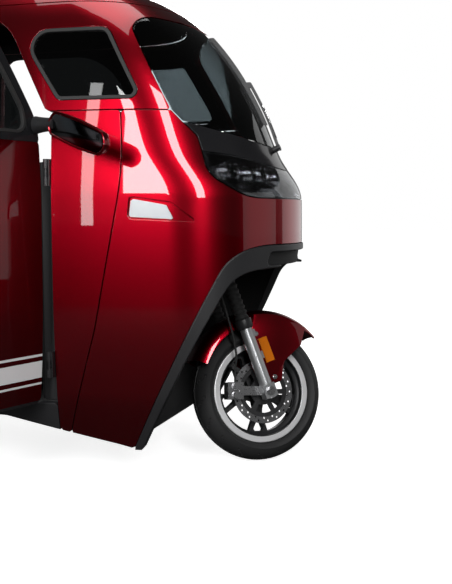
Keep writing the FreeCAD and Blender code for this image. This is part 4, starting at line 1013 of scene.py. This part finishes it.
droop = Matrix.Translation(MIRROR_AT) @ Matrix.Rotation(math.radians(20), 4, "X")
shell_rings = [(-0.0120, 0.0085), (-0.0150, 0.0065), (-0.0162, 0.0035), (-0.0150, 0.0008), (-0.0110, 0.0),
               (0.0, 0.0004), (0.0080, 0.0025), (0.0160, 0.0065), (0.0220, 0.0120), (0.0265, 0.0190),
               (0.0290, 0.0270), (0.0300, 0.0350)]
arm_rings = []
for k in range(13):
    t = k / 12
    centre = Vector((-0.612 - 0.010 * t, -0.470 - 0.105 * t, 1.166 - 0.004 * t))
    wide, high = 0.021 - 0.004 * math.sin(math.pi * t), 0.020 + 0.008 * (1 - t) ** 2
    arm_rings.append([centre + Vector((wide * math.cos(a), 0.0, high * math.sin(a))) for a in turns(28)])
for title, swing in (("right", OPEN), ("left", MIRROR @ OPEN)):
    where = SHIFT @ swing
    side = title + "_door"
    shell = ring_stack([oval(x, s) for x, s in shell_rings])
    bmesh.ops.transform(shell, matrix=droop, verts=shell.verts[:])
    keep_piece(title + "_mirror_shell", shell, ("red",), "red_paint", side, title + "_mirror", place=where)
    glass = ring_stack([oval(-0.0118, 0.0088), oval(-0.0136, 0.0088), oval(-0.0140, 0.0100)])
    bmesh.ops.transform(glass, matrix=droop, verts=glass.verts[:])
    keep_piece(title + "_mirror_glass", glass, ("mirror",), "dark_glass", side, place=where)
    keep_piece(title + "_mirror_arm", ring_stack(arm_rings), ("black",), "black_trim", side, place=where)
# %% [markdown]
# ## Seats
# A seat is a foam block in a tight cover. The start shape is a little smaller than the block, and a
# short cloth simulation presses the cover outward, which rounds it and pulls it tight at the edges.
# How far any point may move is capped. The sewn seams are added afterwards.

# %% Cushions by cloth simulation
TRAVEL = 0.012
PUFF_FRAMES = 20


def cushion(name, outline, half_width):
    """A cushion from its side outline in millimetres, run across the vehicle and then puffed."""
    line, middle = drawn(outline, 6)
    rings = []
    for share, shrink in ((-1.0, 0.050), (-0.985, 0.022), (-0.93, 0.006), (0.93, 0.006), (0.985, 0.022),
                          (1.0, 0.050)):
        ring = []
        for p in line:
            q = inward(p, middle, shrink)
            ring.append(Vector((q.x, share * (half_width - 0.012), q.y)))
        rings.append(ring)
    bm = ring_stack(rings)
    mesh = bpy.data.meshes.new(name)
    bm.to_mesh(mesh)
    bm.free()
    mesh.transform(SHIFT)
    piece = add_piece(name, mesh, ("leather",), "seat_cover", "chassis")
    remesh = piece.modifiers.new("even_cells", "REMESH")
    remesh.mode = "VOXEL"
    remesh.voxel_size = 0.008
    apply_modifiers(piece)
    start = np.empty(len(piece.data.vertices) * 3)
    piece.data.vertices.foreach_get("co", start)
    cover = piece.modifiers.new("cover", "CLOTH")
    cover.settings.quality = 5
    cover.settings.mass = 0.3
    cover.settings.tension_stiffness = 15
    cover.settings.compression_stiffness = 15
    cover.settings.shear_stiffness = 8
    cover.settings.bending_stiffness = 4
    cover.settings.use_pressure = True
    cover.settings.uniform_pressure_force = 4.0
    cover.settings.effector_weights.gravity = 0.0
    cover.point_cache.frame_start, cover.point_cache.frame_end = 1, PUFF_FRAMES
    for frame_number in range(1, PUFF_FRAMES + 1):
        bpy.context.scene.frame_set(frame_number)
    apply_modifiers(piece)
    bpy.context.scene.frame_set(1)
    moved = np.empty_like(start)
    piece.data.vertices.foreach_get("co", moved)
    step = (moved - start).reshape(-1, 3)
    length = np.maximum(np.linalg.norm(step, axis=1), 1e-9)
    capped = start.reshape(-1, 3) + step * np.minimum(1.0, TRAVEL / length)[:, None]
    piece.data.vertices.foreach_set("co", capped.ravel())
    for polygon in piece.data.polygons:
        polygon.use_smooth = True
    smooth = piece.modifiers.new("smooth", "SUBSURF")
    smooth.levels = smooth.render_levels = 1
    print(name, "faces", len(piece.data.polygons), "largest move", round(float(length.max()), 4))
    return piece


def apply_modifiers(piece):
    """Replaces a piece's mesh by what its modifiers make of it."""
    graph = bpy.context.evaluated_depsgraph_get()
    graph.update()
    finished = bpy.data.meshes.new_from_object(piece.evaluated_get(graph), depsgraph=graph)
    piece.modifiers.clear()
    piece.data = finished


# name, the node it stands for, half width, height of the piping over the outline, outline from the side
SEATS = (
    ("driver_cushion", "seat_cushions", 0.214, 2,
     [(-794, 519, 22), (-1176, 519, 22), (-1176, 598, 30), (-794, 602, 34)]),
    ("driver_back", "seat_backs", 0.204, 0,
     [(-1126, 610, 22), (-1186, 610, 22), (-1260, 1010, 30), (-1200, 1010, 30)]),
    ("bench_cushion", "seat_cushions", 0.374, 2,
     [(-1304, 550, 22), (-1686, 550, 22), (-1686, 636, 30), (-1304, 641, 34)]),
    ("bench_back", "seat_backs", 0.364, 0,
     [(-1644, 650, 22), (-1696, 650, 22), (-1770, 1056, 30), (-1714, 1056, 30)]),
)
for name, node, half_width, lift, outline in SEATS:
    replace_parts(cushion(name, outline, half_width), node)


# %% Piping sewn along the seats' edges
PIPING_R, PIPING_IN, PIPING_FROM_END = 0.0032, 0.004, 0.008


def piping(outline, lift, y):
    """A thin round bead along a seat's side outline, its upper two corners lifted."""
    line, middle = drawn(outline[:2] + [(a, b + lift, r) for a, b, r in outline[2:]], 6)
    line = [inward(p, middle, PIPING_IN) for p in line]
    line = [Vector((p.x, y, p.y)) for p in line]
    rings = []
    for k, at in enumerate(line):
        ahead = (line[(k + 1) % len(line)] - line[k - 1]).normalized()
        side = ahead.cross(Vector((0.0, 1.0, 0.0))).normalized()
        up = side.cross(ahead)
        rings.append([at + (side * math.cos(a) + up * math.sin(a)) * PIPING_R for a in turns(8)])
    return ring_stack(rings, endless=True)


beads = [piping(outline, lift, sign * (half_width - PIPING_FROM_END))
         for name, node, half_width, lift, outline in SEATS for sign in (-1, 1)]
keep_piece("seat_piping", merged(beads), ("rubber",), "seat_cover", "chassis")

# %% [markdown]
# ## Lamps, wiper link, plate holder and handles
# Behind the front lens sit two pairs of round projectors: a bright ring with a domed glass in it.

# %% Projectors behind the lens
LAMPS = ((0.150, 1.012, 0.038), (0.268, 1.022, 0.034))


def nose_at(y, z, inset):
    """The point of the form, pushed in, that lies straight ahead of a given y and z."""
    around = np.linspace(0.0, 1.9, 200)
    s = np.full(200, np.interp(z, SECTIONS[:, 0], ROW_AT))
    points = on_form(around, s, inset)
    return Vector((float(np.interp(abs(y), points[:, 1], points[:, 0])), y, z))


rings, domes = [], []
for y, z, radius in LAMPS:
    for sign in (-1, 1):
        at = nose_at(sign * y, z, 0.034)
        ring_line = [(radius * share, depth) for share, depth in (
            (0.80, -0.020), (0.98, 0.004), (0.94, 0.009), (0.86, 0.006), (0.70, -0.016), (0.70, -0.020))]
        dome_line = [(0.0, -0.018), (radius * 0.70, -0.018)]
        for k in range(9):
            turn = math.radians(90 * k / 8)
            dome_line.append((radius * 0.68 * math.cos(turn), -0.012 + 0.017 * math.sin(turn)))
        for line, store in ((ring_line, rings), (dome_line, domes)):
            store.append(set_at(spun(line, 40, axis="Z"), at, (1.0, sign * y * 0.9, 0.18)))
keep_piece("lamp_rings", merged(rings), ("reflector",), "grey_trim", "chassis")
keep_piece("lamp_projectors", merged(domes), ("mirror",), "clear_lens", "chassis")


# %% Plate holder with its blank plate
PLATE_X = -1.975


def flat_plate(half_width, bottom, top, corner, low, high, soft):
    """A plate seen from behind, between two depths from its face, its rear edge softened."""
    line, middle = drawn([(-half_width, bottom, corner), (half_width, bottom, corner),
                          (half_width, top, corner), (-half_width, top, corner)])
    rings = []
    for depth, shrink in ((low, 0.0), (high - soft * math.copysign(1, high - low), 0.0), (high, soft)):
        rings.append([Vector((PLATE_X + depth, *inward(p, middle, shrink))) for p in line])
    return ring_stack(rings)


keep_piece("plate_holder", flat_plate(130, 262, 392, 12, 0.034, 0.0004, 0.003), ("black",), "black_trim",
           "chassis")
keep_piece("blank_plate", flat_plate(118, 275, 379, 8, 0.0008, -0.0022, 0.0006), ("indicator",),
           "black_trim", "chassis")

# %% Silver link on the wiper
link_rings = []
for k in range(15):
    t = k / 14
    at = nose_at(0.0, 1.150 + 0.170 * t, -0.0275)
    width = 0.0042 + 0.0016 * math.cos(2 * math.pi * t)
    link_rings.append([at + Vector((0.0022 * math.cos(a), width * math.sin(a), 0.0)) for a in turns(12)])
keep_piece("wiper_link", ring_stack(link_rings), ("chrome",), "black_trim", "chassis")

# %% Door handles
HANDLE_Z = 0.874
for title, half, swing in (("right", -1, OPEN), ("left", 1, MIRROR @ OPEN @ MIRROR)):
    grip = []
    for k in range(21):
        t = k / 20
        x = -1.120 - 0.125 * t
        rise = 0.010 + 0.008 * math.sin(math.pi * t) ** 0.6
        around = np.linspace(1.2, 2.9, 120)
        line = on_form(around, np.full(120, np.interp(HANDLE_Z, SECTIONS[:, 0], ROW_AT)))
        y = float(np.interp(-x, -line[:, 0], line[:, 1]))
        high = 0.0105 - 0.003 * abs(2 * t - 1) ** 3
        grip.append([Vector((x, half * (y + rise + 0.005 * math.cos(a)), HANDLE_Z + high * math.sin(a)))
                     for a in turns(20)])
    keep_piece(title + "_door_handle", ring_stack(grip), ("gloss_black",), "black_trim", title + "_door",
               place=SHIFT @ swing)

# %% [markdown]
# ## Hinge pillars
# Inside each doorway, at its front edge, a post with a rebate for the door seal closes the space
# between the fairing and the cabin. It stands well clear of the shut door.

# %% Hinge pillars
post_line = rounded([(-0.562, 0.384, 0.004), (-0.644, 0.384, 0.006), (-0.644, 0.401, 0.003),
                     (-0.626, 0.401, 0.003), (-0.626, 0.420, 0.005), (-0.562, 0.420, 0.004)], 5)
for title, half in (("right", -1), ("left", 1)):
    middle = Vector((-0.600, half * 0.398, 0.0))
    levels = []
    for z, shrink in ((0.262, 0.004), (0.265, 0.0), (1.052, 0.0), (1.056, 0.004)):
        ring = [Vector((x, half * y, z)) for x, y in post_line]
        levels.append([p + (Vector((middle.x, middle.y, z)) - p).normalized() * shrink for p in ring])
    keep_piece(title + "_hinge_pillar", ring_stack(levels), ("black",), "black_trim", "chassis")

# %% [markdown]
# ## Finishes for the solids that stay
# The frame, fork, wheels and fittings already have their true shape. They keep it and get their own
# finish: black steel, silver fork legs, black cast wheels with a bright turned lip, a ground disc.

# %% Carried-over solids
KEPT = {
    "satin": ("frame", "steering_column", "handlebar", "rear_axle", "rear_springs", "hinge_brackets"),
    "silver": ("fork_sliders",),
    "rubber": ("fork_gaiters", "brake_hose"),
    "steel": ("front_axle", "brake_caliper"),
    "disc": ("brake_disc",),
    "front_cast": ("front_rim",),
    "rear_cast": ("rear_left_rim", "rear_right_rim"),
    "amber": ("reflectors",),
    "black": ("wiper", "wheel_well", "dash", "rear_deck", "battery_box"),
    "reflector": ("headlamp_units",),
    "liner": ("floor_pan",),
}
for key, names in KEPT.items():
    for name in names:
        if not nodes[name].material_slots:
            nodes[name].data.materials.append(finishes[key])
        for place in nodes[name].material_slots:
            place.material = finishes[key]
print("solids that stay:", sum(len(names) for names in KEPT.values()))

# %% [markdown]
# ## The studio
# The paint shows what it reflects, so the lamps are tall soft boxes set where the bright bands on the
# nose and the fairing mirror them. The camera sees a white room, and everything else sees a dark
# floor and a nearly dark room, which keeps the red deep.

# %% Soft boxes
def area_light(name, energy, size, size_y, place, towards):
    data = bpy.data.lights.new(name, "AREA")
    data.shape = "RECTANGLE"
    data.energy, data.size, data.size_y = energy, size, size_y
    lamp = bpy.data.objects.new(name, data)
    bpy.context.scene.collection.objects.link(lamp)
    lamp.location = place
    lamp.rotation_euler = (Vector(towards) - Vector(place)).to_track_quat("-Z", "Y").to_euler()
    lamp.visible_camera = False


area_light("side_box", 85, 0.85, 1.9, (0.25, -4.41, 2.05), (0.6, -0.43, 1.1))
area_light("side_strip", 9, 0.16, 2.2, (-0.62, -4.31, 1.84), (0.46, -0.45, 1.1))
area_light("front_box", 110, 0.70, 3.2, (3.0, -3.72, 2.6), (0.8, -0.38, 1.0))
area_light("top_box", 60, 2.6, 2.6, (0.2, -0.4, 4.4), (0.2, 0.0, 0.6))
area_light("far_panel", 26, 4.0, 2.8, (2.7, 3.7, 1.5), (0.8, 0.0, 0.9))
area_light("front_panel", 12, 3.4, 2.2, (5.4, 0.6, 1.3), (0.6, -0.4, 0.8))
area_light("rear_box", 60, 1.0, 2.4, (-4.0, -2.2, 2.3), (-0.8, -0.2, 0.8))
area_light("left_box", 60, 1.0, 2.4, (-1.0, 4.4, 2.3), (0.0, 0.3, 0.9))
print("lamps:", len(bpy.data.lights))

# %% Floor and room
floor_mesh = bmesh.new()
bmesh.ops.create_grid(floor_mesh, x_segments=1, y_segments=1, size=40.0)
mesh = bpy.data.meshes.new("floor")
floor_mesh.to_mesh(mesh)
floor_mesh.free()
floor = bpy.data.objects.new("floor", mesh)
bpy.context.scene.collection.objects.link(floor)
white = Finish("studio_floor", Roughness=0.6, Specular_IOR_Level=0.0, Emission_Strength=1.0)
seen_direct = white.node("ShaderNodeLightPath", output=0)
pale = white.blend(white.noise(0.5), shade((0.78, 0.78, 0.78)), shade((0.80, 0.80, 0.80)))
white.feed("Base Color", white.blend(seen_direct, shade((0.05, 0.05, 0.05)), pale))
reach = white.node("ShaderNodeVectorMath", {"operation": "LENGTH"}, output=1, i0=white.place())
glow = white.node("ShaderNodeMapRange", Value=reach, From_Min=1.4, From_Max=3.4, To_Min=0.80, To_Max=1.0)
white.feed("Emission Color", white.blend(seen_direct, shade((0.0, 0.0, 0.0)), glow))
mesh.materials.append(white.material)

world = bpy.data.worlds.new("studio")
bpy.context.scene.world = world
world.use_nodes = True
tree = world.node_tree
back = tree.nodes["Background"]
seen_white = tree.nodes.new("ShaderNodeBackground")
for background, strength in ((back, 0.035), (seen_white, 1.0)):
    background.inputs["Color"].default_value = (1, 1, 1, 1)
    background.inputs["Strength"].default_value = strength
path = tree.nodes.new("ShaderNodeLightPath")
mix = tree.nodes.new("ShaderNodeMixShader")
tree.links.new(path.outputs["Is Camera Ray"], mix.inputs[0])
tree.links.new(back.outputs[0], mix.inputs[1])
tree.links.new(seen_white.outputs[0], mix.inputs[2])
tree.links.new(mix.outputs[0], tree.nodes["World Output"].inputs["Surface"])
print("floor and room set")

# %% Camera
bpy.context.scene.view_settings.view_transform = "Standard"
camera_data = bpy.data.cameras.new("camera")
camera = bpy.data.objects.new("camera", camera_data)
bpy.context.scene.collection.objects.link(camera)
bpy.context.scene.camera = camera
camera.location = (1.6935, -3.0235, 0.8915)
camera.rotation_euler = (math.radians(90 - 5.21), 0.0, math.radians(17.0))
camera_data.lens = 54.06
camera_data.sensor_width = 36.0
bpy.context.scene.render.resolution_x = 452
bpy.context.scene.render.resolution_y = 584
print("camera at", tuple(round(c, 3) for c in camera.location))
